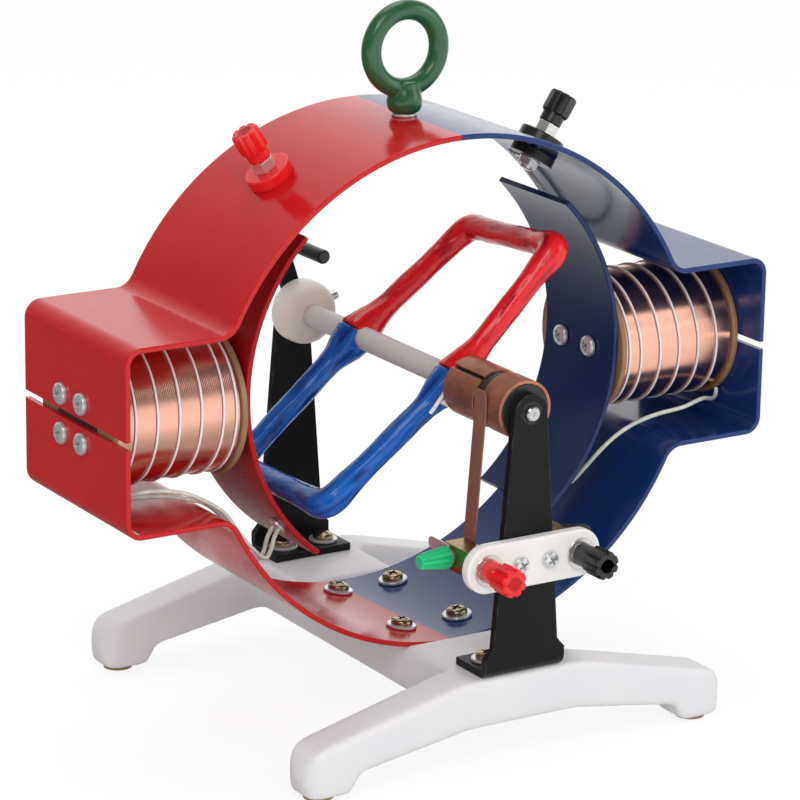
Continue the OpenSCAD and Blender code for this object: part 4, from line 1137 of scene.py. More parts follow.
@dataclass
class SubAssembly:
    """A group of pieces with the sizes and places that all groups share, in millimetres."""

    bench: Bench
    shift: float = 10.775
    mid: float = 139.0
    shaft: float = 144.0
    core_y: float = 12.775
    core_z: float = 139.0
    arc_r: float = 115.0
    arc_offset: float = 10.0
    strip_t: float = 2.2
    box_x: float = 150.0
    board_z: float = 85.0
    board_t: float = 5.0
    board_back: float = -92.5
    lead_steps: int = 5

    @property
    def board_face(self) -> float:
        """Place of the board's front along the shaft."""
        return self.shift + self.board_back - self.board_t

    def build(self) -> None:
        """Builds the group's pieces."""
        raise NotImplementedError

    def eased(
        self, node: str, name: str, finish: Finish, width: float, body: Body = Body.STAND, segments: int = 2,
    ) -> None:
        """Dresses a solid in a copy with eased edges.

        Args:
            node: The solid.
            name: Name of the piece.
            finish: Its finish.
            width: Width of the eased edges.
            body: Body that it rides on.
            segments: Steps of the rounding.
        """
        self.bench.put(Form.of_node(self.bench, node).rounded(width, segments), name, finish, node, body)

    def on_shaft(self, profile: Outline, steps: int, y: float = 0.0) -> Form:
        """A form turned about the shaft.

        Args:
            profile: Points of radius and place along the shaft.
            steps: Steps of the full turn.
            y: Where along the shaft the profile starts.

        Returns:
            The form in its place.
        """
        return Form.lathe(profile, steps).placed(facing(Axis.AWAY, 0.0, self.shift + y, self.shaft))

    def lead(self, route: Sequence[Spot], r: float, sides: int, across: Spot) -> Form:
        """A round wire along a route.

        Args:
            route: Points of the route, from the ring's middle.
            r: Radius of the wire.
            sides: Sides of its section.
            across: First direction of the section's own X axis.

        Returns:
            The wire with both ends closed.
        """
        middle = Vector((0.0, self.shift, self.mid))
        points = [middle + point for point in smooth_route(route, self.lead_steps)]
        return Form.swept(oval(r, r, sides), path_frames(points, Vector(across)))


@dataclass
class MagnetRing(SubAssembly):
    """The painted iron strips and the pole shoes."""

    strip_w: float = 85.0
    box_h: float = 38.0
    box_bend: float = 7.0
    neck_bend: float = 8.0
    slit: float = 3.2
    edge: float = 0.55
    shoe_r: float = 86.0
    shoe_w: float = 50.0
    shoe_up: float = 45.5
    shoe_down: float = 51.0
    bend_step: float = 9.0
    bow_step: float = 1.8

    def strip_path(self, up: float) -> list[tuple[float, float]]:
        """Middle line of one of the two strips.

        Args:
            up: 1 for the upper strip, -1 for the lower one.

        Returns:
            Points in X and Z, from the blue box round to the red one.
        """
        half = self.strip_t / 2
        neck_z = self.box_h + self.neck_bend
        neck_x = math.sqrt((self.arc_r + self.neck_bend) ** 2 - (neck_z + self.arc_offset) ** 2)
        neck_a = math.degrees(math.atan2(neck_z + self.arc_offset, neck_x))
        corner = self.box_x - self.box_bend, self.box_h - self.box_bend
        wall = self.box_x - half
        right = [(wall, self.slit / 2), (wall, corner[1] * 0.5)]
        right += arc(*corner, self.box_bend - half, 0, 90, self.bend_step)
        right += [((corner[0] + neck_x) / 2, self.box_h - half)]
        right += arc(neck_x, neck_z, self.neck_bend + half, 270, 180 + neck_a, self.bend_step)
        right += arc(0, -self.arc_offset, self.arc_r - half, neck_a, 90, self.bow_step)[1:]
        left = [(-x, z) for x, z in reversed(right[:-1])]
        return [(x, self.mid + up * z) for x, z in right + left]

    def build(self) -> None:
        """Builds both strips and both shoes."""
        for up, part, paint in ((1, "upper", UPPER_PAINT), (-1, "lower", LOWER_PAINT)):
            form = Form.strip(self.strip_path(up), self.strip_w, self.strip_t, self.edge, self.shift)
            self.bench.put(form, f"{part}_ring_strip", paint, f"{part}_yoke")
        bow = arc(0, self.shaft, self.shoe_r + self.strip_t / 2, -self.shoe_down, self.shoe_up, self.bow_step)
        for side, colour, paint in ((-1, "red", SHOE_RED), (1, "blue", SHOE_BLUE)):
            path = [(side * x, z) for x, z in bow]
            form = Form.strip(path, self.shoe_w, self.strip_t, self.edge, self.shift)
            self.bench.put(form, f"{colour}_pole_shoe_sheet", paint, f"pole_shoe_{colour}")


@dataclass
class Stand(SubAssembly):
    """The cast base, its pads and the two shaft brackets."""

    skin: float = 1.1
    rubs: int = 16
    bracket_ease: float = 0.4
    bush_ease: float = 0.15

    def build(self) -> None:
        """Builds the base, the brackets and the bushes."""
        form = Form.of_node(self.bench, "base_casting").fused(self.skin, self.rubs)
        self.bench.put(form, "base_cast_body", CASTING, "base_casting", shading=Shading.SKIN)
        self.bench.paint("foot_pads", RUBBER)
        for end in ("near", "far"):
            self.eased(f"{end}_bracket", f"{end}_bracket_sheet", BLACK_PAINT, self.bracket_ease)
        self.eased("shaft_bushes", "shaft_bush_pair", OILED_BUSH, self.bush_ease)


@dataclass
class EyeBolt(SubAssembly):
    """The lifting eye with its washer and nut."""

    skin: float = 0.42
    rubs: int = 6
    place_x: float = -2.0
    foot_z: float = 245.25
    collar_h: float = 9.8
    ring_r: float = 15.7
    ring_sides: int = 64
    rod_r: float = 4.1
    rod_sides: int = 20
    collar_sides: int = 48
    washer_ease: float = 0.2
    nut_ease: float = 0.5
    collar: Outline = (
        (0, -11.8), (3.9, -11.8), (3.9, 0.3), (5.6, 0.3), (6.6, 1.4), (7.25, 3.6), (7.2, 5.6), (6.5, 8.0),
        (5.6, 10.4), (5.2, 12.6), (0, 12.6),
    )

    def build(self) -> None:
        """Builds the eye in one skin, so that the ring runs into its collar."""
        rod = [(self.ring_r + x, z) for x, z in oval(self.rod_r, self.rod_r, self.rod_sides)]
        middle = self.foot_z + self.collar_h + self.ring_r
        ring = Form.lathe(rod + rod[:1], self.ring_sides)
        ring.placed(facing(Axis.NEAR, self.place_x, self.shift, middle))
        collar = Form.lathe(self.collar, self.collar_sides)
        collar.placed(facing(Axis.UP, self.place_x, self.shift, self.foot_z))
        form = ring.joined(collar).fused(self.skin, self.rubs)
        self.bench.put(form, "lifting_eye", GREEN_ENAMEL, "eye_bolt", shading=Shading.SKIN)
        self.eased("eye_washer", "lifting_eye_washer", ZINC, self.washer_ease)
        self.eased("eye_nut", "lifting_eye_nut", ZINC, self.nut_ease)


@dataclass
class FieldCoils(SubAssembly):
    """Both field coils: core, bobbin, fine winding and binding thread."""

    x0: float = 91.05
    x1: float = 145.2
    winding_r: float = 28.4
    turns: int = 68
    per_turn: int = 60
    wire_sides: int = 12
    wire_overlap: float = 0.66
    wire_crown: float = 0.045
    thread_start: float = 1.0
    thread_turns: tuple[float, ...] = (4.4, 9.65, 9.65, 9.65, 9.65, 9.0)
    thread_h: float = 0.38
    thread_w: float = 0.5
    thread_sides: int = 8
    thread_per: int = 72
    bobbin_ease: float = 0.7

    def build(self) -> None:
        """Builds the coil of each side."""
        axis = Matrix.Translation((0.0, self.core_y, self.core_z))
        pitch = (self.x1 - self.x0) / (self.turns + 1)
        crown = pitch * self.wire_crown
        wire = oval(crown, pitch * self.wire_overlap, self.wire_sides)
        wire_at = self.winding_r - crown, self.x0 + pitch / 2
        flat = oval(self.thread_h, self.thread_w, self.thread_sides)
        flat_at = self.winding_r + self.thread_h, self.x0 + self.thread_start
        threads = []
        for side, colour in ((-1, "red"), (1, "blue")):
            winding = Form.wound(wire, *wire_at, [pitch] * self.turns, self.per_turn).placed(axis)
            thread = Form.wound(flat, *flat_at, self.thread_turns, self.thread_per).placed(axis)
            if side < 0:
                winding.mirrored()
                thread.mirrored()
            threads.append(thread)
            self.bench.put(winding, f"{colour}_coil_winding", WIRE, f"winding_{colour}", shading=Shading.SKIN)
            self.eased(f"bobbin_{colour}", f"{colour}_coil_bobbin", FIBRE, self.bobbin_ease, segments=3)
            self.bench.paint(f"core_{colour}", IRON)
        both = threads[0].joined(threads[1])
        self.bench.put(both, "coil_binding_threads", THREAD, "binding_threads", shading=Shading.SKIN)
        self.bench.paint("coil_inner_turns", WIRE)


@dataclass(frozen=True)
class LoopHalf:
    """One half of the loop: its reach from the shaft, and angles above level in degrees."""

    colour: str
    tape: Tape
    reach: float
    parting: float
    near: float
    far: float


@dataclass
class Armature(SubAssembly):
    """The taped wire loop with its sleeve and shaft."""

    halves: tuple[LoopHalf, ...] = (
        LoopHalf("red", TAPE_RED, 68.0, 39.0, 45.0, 36.0),
        LoopHalf("blue", TAPE_BLUE, 73.5, 219.0, 217.0, 220.0),
    )
    near_y: float = -36.8
    far_y: float = 38.0
    leg_r: float = 4.9
    near_corner_r: float = 6.3
    far_corner_r: float = 5.7
    corner_spread: float = 13.0
    root: float = 3.0
    root_r: float = 8.0
    root_spread: float = 9.0
    bundle_sides: int = 24
    bundle_drift: float = 0.25
    drift_scale: float = 0.07
    knot_r: float = 8.2
    knot_half: float = 7.0
    knot_sides: int = 40
    knot_slope: tuple[float, float] = (2.6, 3.4)
    knot_gap: float = 0.25
    corner: float = 6.5
    step: float = 1.2
    skin: float = 0.55
    rubs: int = 12
    fold_depth: float = 0.34
    fold_scale: tuple[float, float] = (0.34, 0.07)
    crease_depth: float = 0.13
    crease_scale: tuple[float, float] = (0.8, 0.22)
    crease_shift: float = 40.0
    sleeve_ease: float = 0.3
    wire_ease: float = 0.2
    wire_sides: int = 12
    wire_r: float = 0.85
    wire: tuple[Spot, ...] = (
        (-2.2, -44.4, 9.6), (-4.2, -44.6, 8.9), (-5.9, -44.6, 7.4), (-7.7, -44.6, 4.6), (-9.5, -44.4, 1.7),
        (-11.4, -43.6, -1.4), (-13.1, -42.8, -4.3), (-14.0, -42.0, -6.0),
    )
    rod_r: float = 3.0
    rod_half: float = 94.5
    rod_sides: int = 40
    rod_ease: float = 0.5
    rod_dimple: float = 0.9

    def leg_end(self, degrees: float, y: float, r: float) -> Vector:
        """A point at a radius and an angle above level on one leg's station."""
        a = math.radians(degrees)
        return Vector((r * math.cos(a), self.shift + y, self.shaft + r * math.sin(a)))

    def knot(self, parting: float, y: float) -> Form:
        """Half of the tape's knot round the sleeve.

        Args:
            parting: Angle square to the plane that parts the halves.
            y: Place of the knot along the shaft.

        Returns:
            The closed half.
        """
        h, k, (flat, slope) = self.knot_half, self.knot_r, self.knot_slope
        profile = [(0, -h), (k - flat, -h), (k, -h + slope), (k, h - slope), (k - flat, h), (0, h)]
        knot = self.on_shaft(profile, self.knot_sides, y)
        out = self.leg_end(parting, y, 1.0) - self.leg_end(parting, y, 0.0)
        cut = bmesh.ops.bisect_plane(
            knot.bm, geom=knot.whole(), plane_co=self.leg_end(parting, y, self.knot_gap), plane_no=out,
            clear_inner=True,
        )["geom_cut"]
        return knot.closed(only(BMEdge, cut))

    def half(self, side: LoopHalf) -> Form:
        """One half of the loop, taped round from the shaft out and back.

        Args:
            side: The half's reach and angles.

        Returns:
            The half with its tape's folds.
        """
        corners = [
            self.leg_end(angle, y, r) for angle, y, r in (
                (side.near, self.near_y, self.root), (side.near, self.near_y, side.reach),
                (side.far, self.far_y, side.reach), (side.far, self.far_y, self.root),
            )
        ]
        frames = path_frames(rounded_route(corners, self.corner, self.step), Vector((0.0, 0.3, 1.0)))
        lumps = [frame @ Matrix.Scale(self.thickness(frame.translation, corners), 4) for frame in frames]
        form = Form.swept(oval(1.0, 1.0, self.bundle_sides), lumps)
        form.joined(*(self.knot(side.parting, y) for y in (self.near_y, self.far_y)))
        form.fused(self.skin, self.rubs)
        self.wrinkle(form, frames)
        return form

    def thickness(self, point: Vector, corners: Sequence[Vector]) -> float:
        """Radius of the taped bundle at a point of its middle line.

        Args:
            point: The point.
            corners: The shaft end, near corner, far corner and shaft end of the half.

        Returns:
            The radius, larger at the corners and towards the shaft.
        """
        r = self.leg_r + self.bundle_drift * noise.noise(point * self.drift_scale)
        sizes = self.root_r, self.near_corner_r, self.far_corner_r, self.root_r
        spreads = self.root_spread, self.corner_spread, self.corner_spread, self.root_spread
        for place, size, reach in zip(corners, sizes, spreads):
            r += (size - self.leg_r) * math.exp(-(((point - place).length / reach) ** 2))
        return r

    def wrinkle(self, form: Form, frames: Sequence[Matrix]) -> None:
        """Draws the tape into soft folds along the bundle, and keeps each corner's fold value for the painted
        shade in the hollows.

        Args:
            form: The half loop, changed in place.
            frames: Frames along its middle line.
        """
        tree = kdtree.KDTree(len(frames))
        for i, frame in enumerate(frames):
            tree.insert(frame.translation, i)
        tree.balance()
        backs = [frame.inverted() for frame in frames]
        form.bm.normal_update()
        layer = form.bm.verts.layers.float.new("fold_and_shade")
        (fold_k, fold_run), (crease_k, crease_run) = self.fold_scale, self.crease_scale
        for vert in form.bm.verts:
            _, i, _ = tree.find(vert.co)
            local = backs[i] @ vert.co
            run = i * self.step + local.z
            fold_and_shade = noise.noise(Vector((local.x * fold_k, local.y * fold_k, run * fold_run)))
            deep = run * crease_run + self.crease_shift
            crease = noise.noise(Vector((local.x * crease_k, local.y * crease_k, deep)))
            # The same value tells the tape's material where to paint shade into the hollows.
            vert[layer] = 0.5 + 0.5 * fold_and_shade
            vert.co += vert.normal * (self.fold_depth * fold_and_shade + self.crease_depth * crease)

    def build(self) -> None:
        """Builds both halves, the sleeve, the loop's two ends and the shaft."""
        rotor = Body.ROTOR
        for side in self.halves:
            name, node = f"loop_{side.colour}_taped", f"armature_{side.colour}"
            self.bench.put(self.half(side), name, side.tape, node, rotor, Shading.SKIN)
        self.eased("shaft_sleeve", "shaft_sleeve_tube", SLEEVE, self.sleeve_ease, rotor)
        ends = Form.of_node(self.bench, "armature_leads").rounded(self.wire_ease)
        ends.joined(self.lead(self.wire, self.wire_r, self.wire_sides, (0.3, 1.0, 0.1)))
        self.bench.put(ends, "loop_wire_ends", THREAD, "armature_leads", rotor)
        r, end, ease, dimple = self.rod_r, self.rod_half, self.rod_ease, self.rod_dimple
        half = [(r, end - ease), (r - ease, end), (dimple, end), (0, end - dimple)]
        rod = self.on_shaft([(x, -y) for x, y in reversed(half)] + half, self.rod_sides)
        self.bench.put(rod, "shaft_rod", STEEL, "shaft", rotor)


@dataclass
class Commutator(SubAssembly):
    """The copper rings on their insulating drum."""

    ring_ease: float = 0.3
    drum_ease: float = 0.4

    def build(self) -> None:
        """Builds the rings and the drum with eased edges."""
        self.eased("split_ring", "split_ring_halves", RING_COPPER, self.ring_ease, Body.ROTOR)
        self.eased("slip_ring", "slip_ring_band", RING_COPPER, self.ring_ease, Body.ROTOR)
        self.eased("commutator_drum", "commutator_core", CAP_BLACK, self.drum_ease, Body.ROTOR)


@dataclass
class Crank(SubAssembly):
    """The hub, arm and grip at the far end of the shaft."""

    nose_y: float = 73.1
    step_y: float = 79.2
    back_y: float = 85.05
    nose_r: float = 8.6
    hub_r: float = 13.6
    bore_r: float = 3.05
    rim: float = 0.9
    hub_sides: int = 72
    screw_ease: float = 0.15
    bar_ease: float = 0.4

    def build(self) -> None:
        """Builds the crank's pieces."""
        nose, back, rim = self.nose_y, self.back_y, self.rim
        swell, rise = self.hub_r - self.nose_r, self.step_y - nose
        profile = [(self.bore_r, nose)]
        for a in (math.radians(10 * i) for i in range(10)):
            profile.append((self.nose_r + swell * math.sin(a), nose + rise * (1 - math.cos(a))))
        profile += arc(self.hub_r - rim, back - rim, rim, 0, 90, 30)
        profile += [(self.bore_r, back), (self.bore_r, nose)]
        hub = self.on_shaft(profile, self.hub_sides)
        self.bench.put(hub, "crank_hub_turned", NYLON, "crank_hub", Body.ROTOR)
        self.eased("hub_set_screw", "hub_set_screw_stud", ZINC, self.screw_ease, Body.ROTOR)
        self.eased("crank_arm", "crank_arm_bar", BLACK_PAINT, self.bar_ease, Body.ROTOR)
        self.eased("crank_grip", "crank_grip_rod", CAP_BLACK, self.bar_ease, Body.GRIP)


@dataclass
class BindingPosts(SubAssembly):
    """The four screw posts: two on the crown and two on the terminal board."""

    lean: float = 33.0
    disc_r: float = 9.5
    disc_bore: float = 2.75
    disc_rim: float = 0.6
    disc_t: float = 4.6
    disc_sides: int = 56
    inner_share: float = 0.9
    inner_ease: float = 0.4
    post_x: float = 21.5
    cap_r: float = 5.8
    neck_r: float = 4.7
    neck_ease: float = 0.4
    neck_sides: int = 40
    flute: float = 1.15
    flutes: int = 8
    cap_foot: Outline = ((0.0, 0.86), (0.5, 0.94), (1.1, 1.0))
    cap_end: Outline = ((-1.2, 1.0), (-0.5, 0.97), (-0.12, 0.91), (0.0, 0.84))
    hole_r: float = 2.6
    hole_ease: tuple[float, float] = (0.25, 0.3)
    hole_deep: float = 7.5
    top_collar: float = 5.0
    top_neck: float = 4.0
    top_head: float = 9.5
    top_below: float = 16.0
    front_collar: float = 1.2
    front_neck: float = 6.8
    front_head: float = 10.5
    front_below: float = 8.6
    stud_r: float = 2.7
    stud_above: float = 1.0
    stud_ease: float = 0.5
    stud_sides: int = 32
    collar_r: float = 5.0
    nut_ease: float = 0.2
    washer_sides: int = 44
    play: float = 0.05
    washer: Outline = ((2.7, 0), (6.15, 0), (6.4, 0.25), (6.4, 0.6), (6.2, 0.8), (2.7, 0.8))

    def top_place(self, side: int) -> Matrix:
        """Place of a crown post, with its foot on the strip."""
        lean = Matrix.Rotation(math.radians(side * self.lean), 4, "Y")
        return Matrix.Translation((0, self.shift, self.mid - self.arc_offset)) @ lean @ raised(self.arc_r)

    def front_place(self, side: int) -> Matrix:
        """Place of a board post, with its foot on the board's front."""
        return facing(Axis.NEAR, side * self.post_x, self.board_face, self.board_z)

    def cap(self, start: float, neck: float, head: float) -> Form:
        """A screw cap: round neck, fluted head and a plug hole in its end.

        Args:
            start: Height of the cap's foot.
            neck: Length of the neck.
            head: Length of the head.

        Returns:
            The cap on its post's foot.
        """
        foot = start + self.play
        ledge = foot + neck
        top = ledge + head
        star = fluted(self.cap_r, self.flute, self.flutes)
        stations = [(ledge + z, k) for z, k in self.cap_foot] + [(top + z, k) for z, k in self.cap_end]
        form = Form.swept(star, stacked(stations))
        end = max(form.bm.faces, key=lambda face: face.calc_center_median().z)
        rim = list(end.edges)
        bmesh.ops.delete(form.bm, geom=[end], context="FACES_ONLY")
        wider, lip = self.hole_ease
        ring = set(bmesh.ops.create_circle(
            form.bm, cap_ends=False, segments=len(star), radius=self.hole_r + wider, matrix=raised(top),
        )["verts"])
        mouth = [edge for edge in form.bm.edges if ring.issuperset(edge.verts)]
        bmesh.ops.bridge_loops(form.bm, edges=rim + mouth)
        for drop in (lip, self.hole_deep):
            wall, mouth = form.extruded(mouth)
            for vert in wall:
                x, y = vert.co.xy.normalized() * self.hole_r
                vert.co = (x, y, top - drop)
        form.closed(mouth).outwards()
        r, ease = self.neck_r, self.neck_ease
        stem = [(0, foot), (r - ease, foot), (r, foot + ease), (r, ledge + ease), (0, ledge + ease)]
        return form.joined(Form.lathe(stem, self.neck_sides))

    def stud(self, below: float, collar: float) -> Form:
        """A post's metal stud up to its six-sided collar.

        Args:
            below: Length under the collar.
            collar: Height of the collar.

        Returns:
            The stud with its collar's foot on Z 0.
        """
        r, top, ease = self.stud_r, collar + self.stud_above, self.stud_ease
        profile = [(0, -below), (r - ease, -below), (r, -below + ease), (r, top), (0, top)]
        shank = Form.lathe(profile, self.stud_sides)
        hexagon = oval(self.collar_r, self.collar_r, 6)
        return Form.prism(hexagon, collar).rounded(min(0.4, collar * 0.3)).joined(shank)

    def discs(self, place: Matrix) -> Form:
        """The two insulating discs of a crown post, outside and inside the strip.

        Args:
            place: The post's place.

        Returns:
            Both discs.
        """
        b, r, t, rim, ease = self.disc_bore, self.disc_r, self.disc_t, self.disc_rim, self.inner_ease
        outer = [(b, 0), (r, 0)] + arc(r - rim, t - rim, rim, 0, 90, 30) + [(b, t), (b, 0)]
        top = math.sqrt((self.arc_r - self.strip_t) ** 2 - r * r) - self.arc_r - self.play
        foot = top - t * self.inner_share
        inner = [(b, top), (r - ease, top), (r, top - ease)]
        inner += arc(r - rim, foot + rim, rim, 0, -90, 30) + [(b, foot), (b, top)]
        return Form.lathe(outer, self.disc_sides).joined(Form.lathe(inner, self.disc_sides)).placed(place)

    def build(self) -> None:
        """Builds caps, discs, studs and nuts."""
        for side, colour, finish in ((-1, "red", CAP_RED), (1, "black", CAP_BLACK)):
            top = self.cap(self.top_collar, self.top_neck, self.top_head)
            top.placed(self.top_place(side) @ raised(self.disc_t))
            node = f"cap_top_{colour}"
            self.bench.put(top, f"{colour}_crown_cap", finish, node, Body(node))
            discs = self.discs(self.top_place(side))
            self.bench.put(discs, f"{colour}_crown_discs", finish, f"insulators_{colour}")
            front = self.cap(self.front_collar, self.front_neck, self.front_head)
            front.placed(self.front_place(side))
            node = f"cap_front_{colour}"
            self.bench.put(front, f"{colour}_board_cap", finish, node, Body(node))
        studs = self.stud(self.top_below, self.top_collar)
        studs.placed(*(self.top_place(side) @ raised(self.disc_t) for side in (-1, 1)))
        self.bench.put(studs, "crown_post_studs", NICKEL, "top_studs")
        washer = Form.lathe(self.washer, self.washer_sides)
        studs = self.stud(self.front_below, self.front_collar).joined(washer)
        studs.placed(*(self.front_place(side) for side in (-1, 1)))
        self.bench.put(studs, "board_post_studs", NICKEL, "front_studs")
        self.eased("top_nuts", "crown_post_nuts", ZINC, self.nut_ease)
        self.bench.paint("front_nuts", BRASS)


@dataclass
class BrushGear(SubAssembly):
    """The terminal board, brush blocks, brush strips and clamp knobs."""

    board_len: float = 62.0
    board_h: float = 19.6
    board_edge: float = 1.1
    clamp_y: float = -75.8
    knob_x: float = 26.35
    knob_len: float = 13.5
    knob_r: float = 4.5
    rib_depth: float = 0.75
    ribs: int = 10
    knob_taper: Outline = (
        (0.0, 0.93), (0.5, 1.0), (2.0, 1.0), (9.0, 0.82), (13.2, 0.71), (14.5, 0.64), (15.0, 0.52),
    )
    corner_r: float = 2.6
    corner_steps: int = 5
    corner_zone: float = 3.4
    corner_edge: float = 1.0
    leaf_ease: float = 0.12
    block_ease: float = 0.6
    stud_ease: float = 0.2
    lug_ease: float = 0.15

    def strip(self, node: str) -> Form:
        """A brush strip with its two top corners rounded off.

        Args:
            node: The strip's solid.

        Returns:
            The strip in its place.
        """
        form = Form.of_node(self.bench, node)
        low = max(vert.co.z for vert in form.bm.verts) - self.corner_zone
        corners = [
            edge for edge in form.bm.edges
            if edge.calc_length() < self.corner_edge and all(vert.co.z > low for vert in edge.verts)
        ]
        return form.bevelled(corners, self.corner_r, self.corner_steps).rounded(self.leaf_ease)

    def knob(self) -> Form:
        """A tapered clamp knob with ribs that fade towards its tip.

        Returns:
            The knob with its foot on Z 0.
        """
        scale = self.knob_len / self.knob_taper[-1][0]
        star = fluted(self.knob_r, self.rib_depth, self.ribs)
        return Form.swept(star, stacked([(z * scale, k) for z, k in self.knob_taper]))

    def build(self) -> None:
        """Builds the board and what it carries."""
        bend = self.board_h / 2
        straight = self.board_len / 2 - bend
        outline = arc(straight, 0, bend, -90, 90, 6) + arc(-straight, 0, bend, 90, 270, 6)
        board = Form.prism(outline, self.board_t).rounded(self.board_edge, 4)
        board.placed(facing(Axis.NEAR, 0.0, self.shift + self.board_back, self.board_z))
        self.bench.put(board, "terminal_board_plate", BOARD, "terminal_board")
        self.eased("brush_blocks", "brush_block_pair", BRASS, self.block_ease)
        self.eased("clamp_studs", "brush_clamp_studs", ZINC, self.stud_ease)
        self.eased("brush_lugs", "brush_solder_lugs", ZINC, self.lug_ease)
        for side, hand, colour, finish in (
            (-1, "left", "green", KNOB_GREEN), (1, "right", "black", CAP_BLACK),
        ):
            node = f"brush_{hand}"
            self.bench.put(self.strip(node), f"{hand}_brush_strip", STRIP_COPPER, node, Body(node))
            place = facing(Axis.across(side), side * self.knob_x, self.shift + self.clamp_y, self.board_z)
            node = f"knob_{colour}"
            self.bench.put(self.knob().placed(place), f"{colour}_clamp_knob", finish, node, Body(node))


@dataclass
class Fasteners(SubAssembly):
    """All cross-head screws and their washers."""

    head_r: float = 4.4
    board_head_r: float = 3.5
    head_h: float = 2.6
    head_ease: float = 0.15
    head_sides: int = 40
    dome: Outline = ((1.0, 0.42), (0.96, 0.60), (0.85, 0.78), (0.66, 0.91), (0.4, 0.98), (0.0, 1.0))
    shank_r: float = 1.95
    shank: float = 2.0
    slot_len: float = 1.2
    slot_w: float = 0.32
    slot_taper: float = 0.75
    slot_z: float = 0.75
    slot_h: float = 1.1
    slot_turn: float = 0.5
    washer_r: float = 6.2
    washer_t: float = 1.2
    washer_bore: float = 2.2
    washer_ease: float = 0.3
    bore_ease: float = 0.2
    washer_sides: int = 44
    seat_x: float = 13.5
    seat_y: float = 25.0
    seat_shift: float = 3.0
    foot_x: float = 10.0
    foot_y: float = 79.92
    foot_z: float = 40.7
    box_y: float = 8.5
    box_z: float = 8.0
    shoe_x: float = 85.435
    shoe_y: float = 10.0
    board_x: float = 6.8
    play: float = 0.05

    def head(self, r: float) -> Form:
        """A pan head with a cross recess.

        Args:
            r: Radius of the head.

        Returns:
            The screw with the head's underside on Z 0.
        """
        h, s, ease = self.head_h, self.shank_r, self.head_ease
        profile = [(0, -self.shank), (s, -self.shank), (s, 0), (r - ease, 0), (r, ease)]
        form = Form.lathe(profile + [(r * k, h * z) for k, z in self.dome], self.head_sides)
        for turn in (self.slot_turn, self.slot_turn + math.pi / 2):
            bar = Form()
            for vert in bmesh.ops.create_cube(bar.bm, size=1.0)["verts"]:
                x, y, z = vert.co
                k = r if z > 0 else r * self.slot_taper
                vert.co = (x * k * self.slot_len, y * k * self.slot_w, h * (self.slot_z + self.slot_h * z))
            form.cut(bar.placed(Matrix.Rotation(turn, 4, "Z")))
        return form

    def washer(self) -> Form:
        """A flat washer with rounded rims.

        Returns:
            The washer on Z 0.
        """
        r, t, b, e, f = self.washer_r, self.washer_t, self.washer_bore, self.washer_ease, self.bore_ease
        rim = [(r - e, 0), (r, e), (r, t - e), (r - e, t)]
        return Form.lathe([(b, 0)] + rim + [(b + f, t), (b, t - f), (b, 0)], self.washer_sides)

    def seat_places(self, r: float) -> list[Matrix]:
        """Places of the four seat screws.

        Args:
            r: Their distance from the lower arc's centre.

        Returns:
            The four places.
        """
        lean = math.asin(self.seat_x / (self.arc_r - self.strip_t))
        y, z = self.shift + self.seat_shift, self.mid + self.arc_offset
        return [
            Matrix.Translation((0, y + dy, z)) @ Matrix.Rotation(-dx * lean, 4, "Y") @ raised(-r)
            for dx in (-1, 1) for dy in (-self.seat_y, self.seat_y)
        ]

    def build(self) -> None:
        """Builds every group of screws."""
        seat = math.sqrt((self.arc_r - self.strip_t) ** 2 - self.washer_r ** 2) - self.play
        feet = [
            Matrix.Translation((x, self.shift + y, self.foot_z))
            for x in (-self.foot_x, self.foot_x) for y in (-self.foot_y, self.foot_y)
        ]
        box = [
            facing(Axis.across(side), side * self.box_x, self.core_y + y, self.mid + z)
            for side in (-1, 1) for y in (-self.box_y, self.box_y) for z in (-self.box_z, self.box_z)
        ]
        shoe = [
            facing(Axis.across(-side), side * self.shoe_x, self.core_y + y, self.core_z)
            for side in (-1, 1) for y in (-self.shoe_y, self.shoe_y)
        ]
        board = [facing(Axis.NEAR, x, self.board_face, self.board_z) for x in (-self.board_x, self.board_x)]
        self.bench.put(self.washer().placed(*self.seat_places(seat)), "bowl_washers", ZINC, "seat_washers")
        self.bench.put(self.washer().placed(*feet), "bracket_foot_washers", ZINC, "bracket_washers")
        on_washers = [foot @ raised(self.washer_t) for foot in feet]
        for places, name, node, finish, r in (
            (self.seat_places(seat - self.washer_t), "bowl_screws", "seat_screws", PASSIVATED, self.head_r),
            (on_washers, "bracket_foot_screws", "bracket_screws", PASSIVATED, self.head_r),
            (box, "coil_box_screws", "box_screws", ZINC, self.head_r),
            (shoe, "pole_shoe_screws", "shoe_screws", ZINC, self.head_r),
            (board, "terminal_board_screws", "board_screws", ZINC, self.board_head_r),
        ):
            self.bench.put(self.head(r).placed(*places), name, finish, node, shading=Shading.SCREW)
        self.bench.paint("shoe_tags", ZINC)


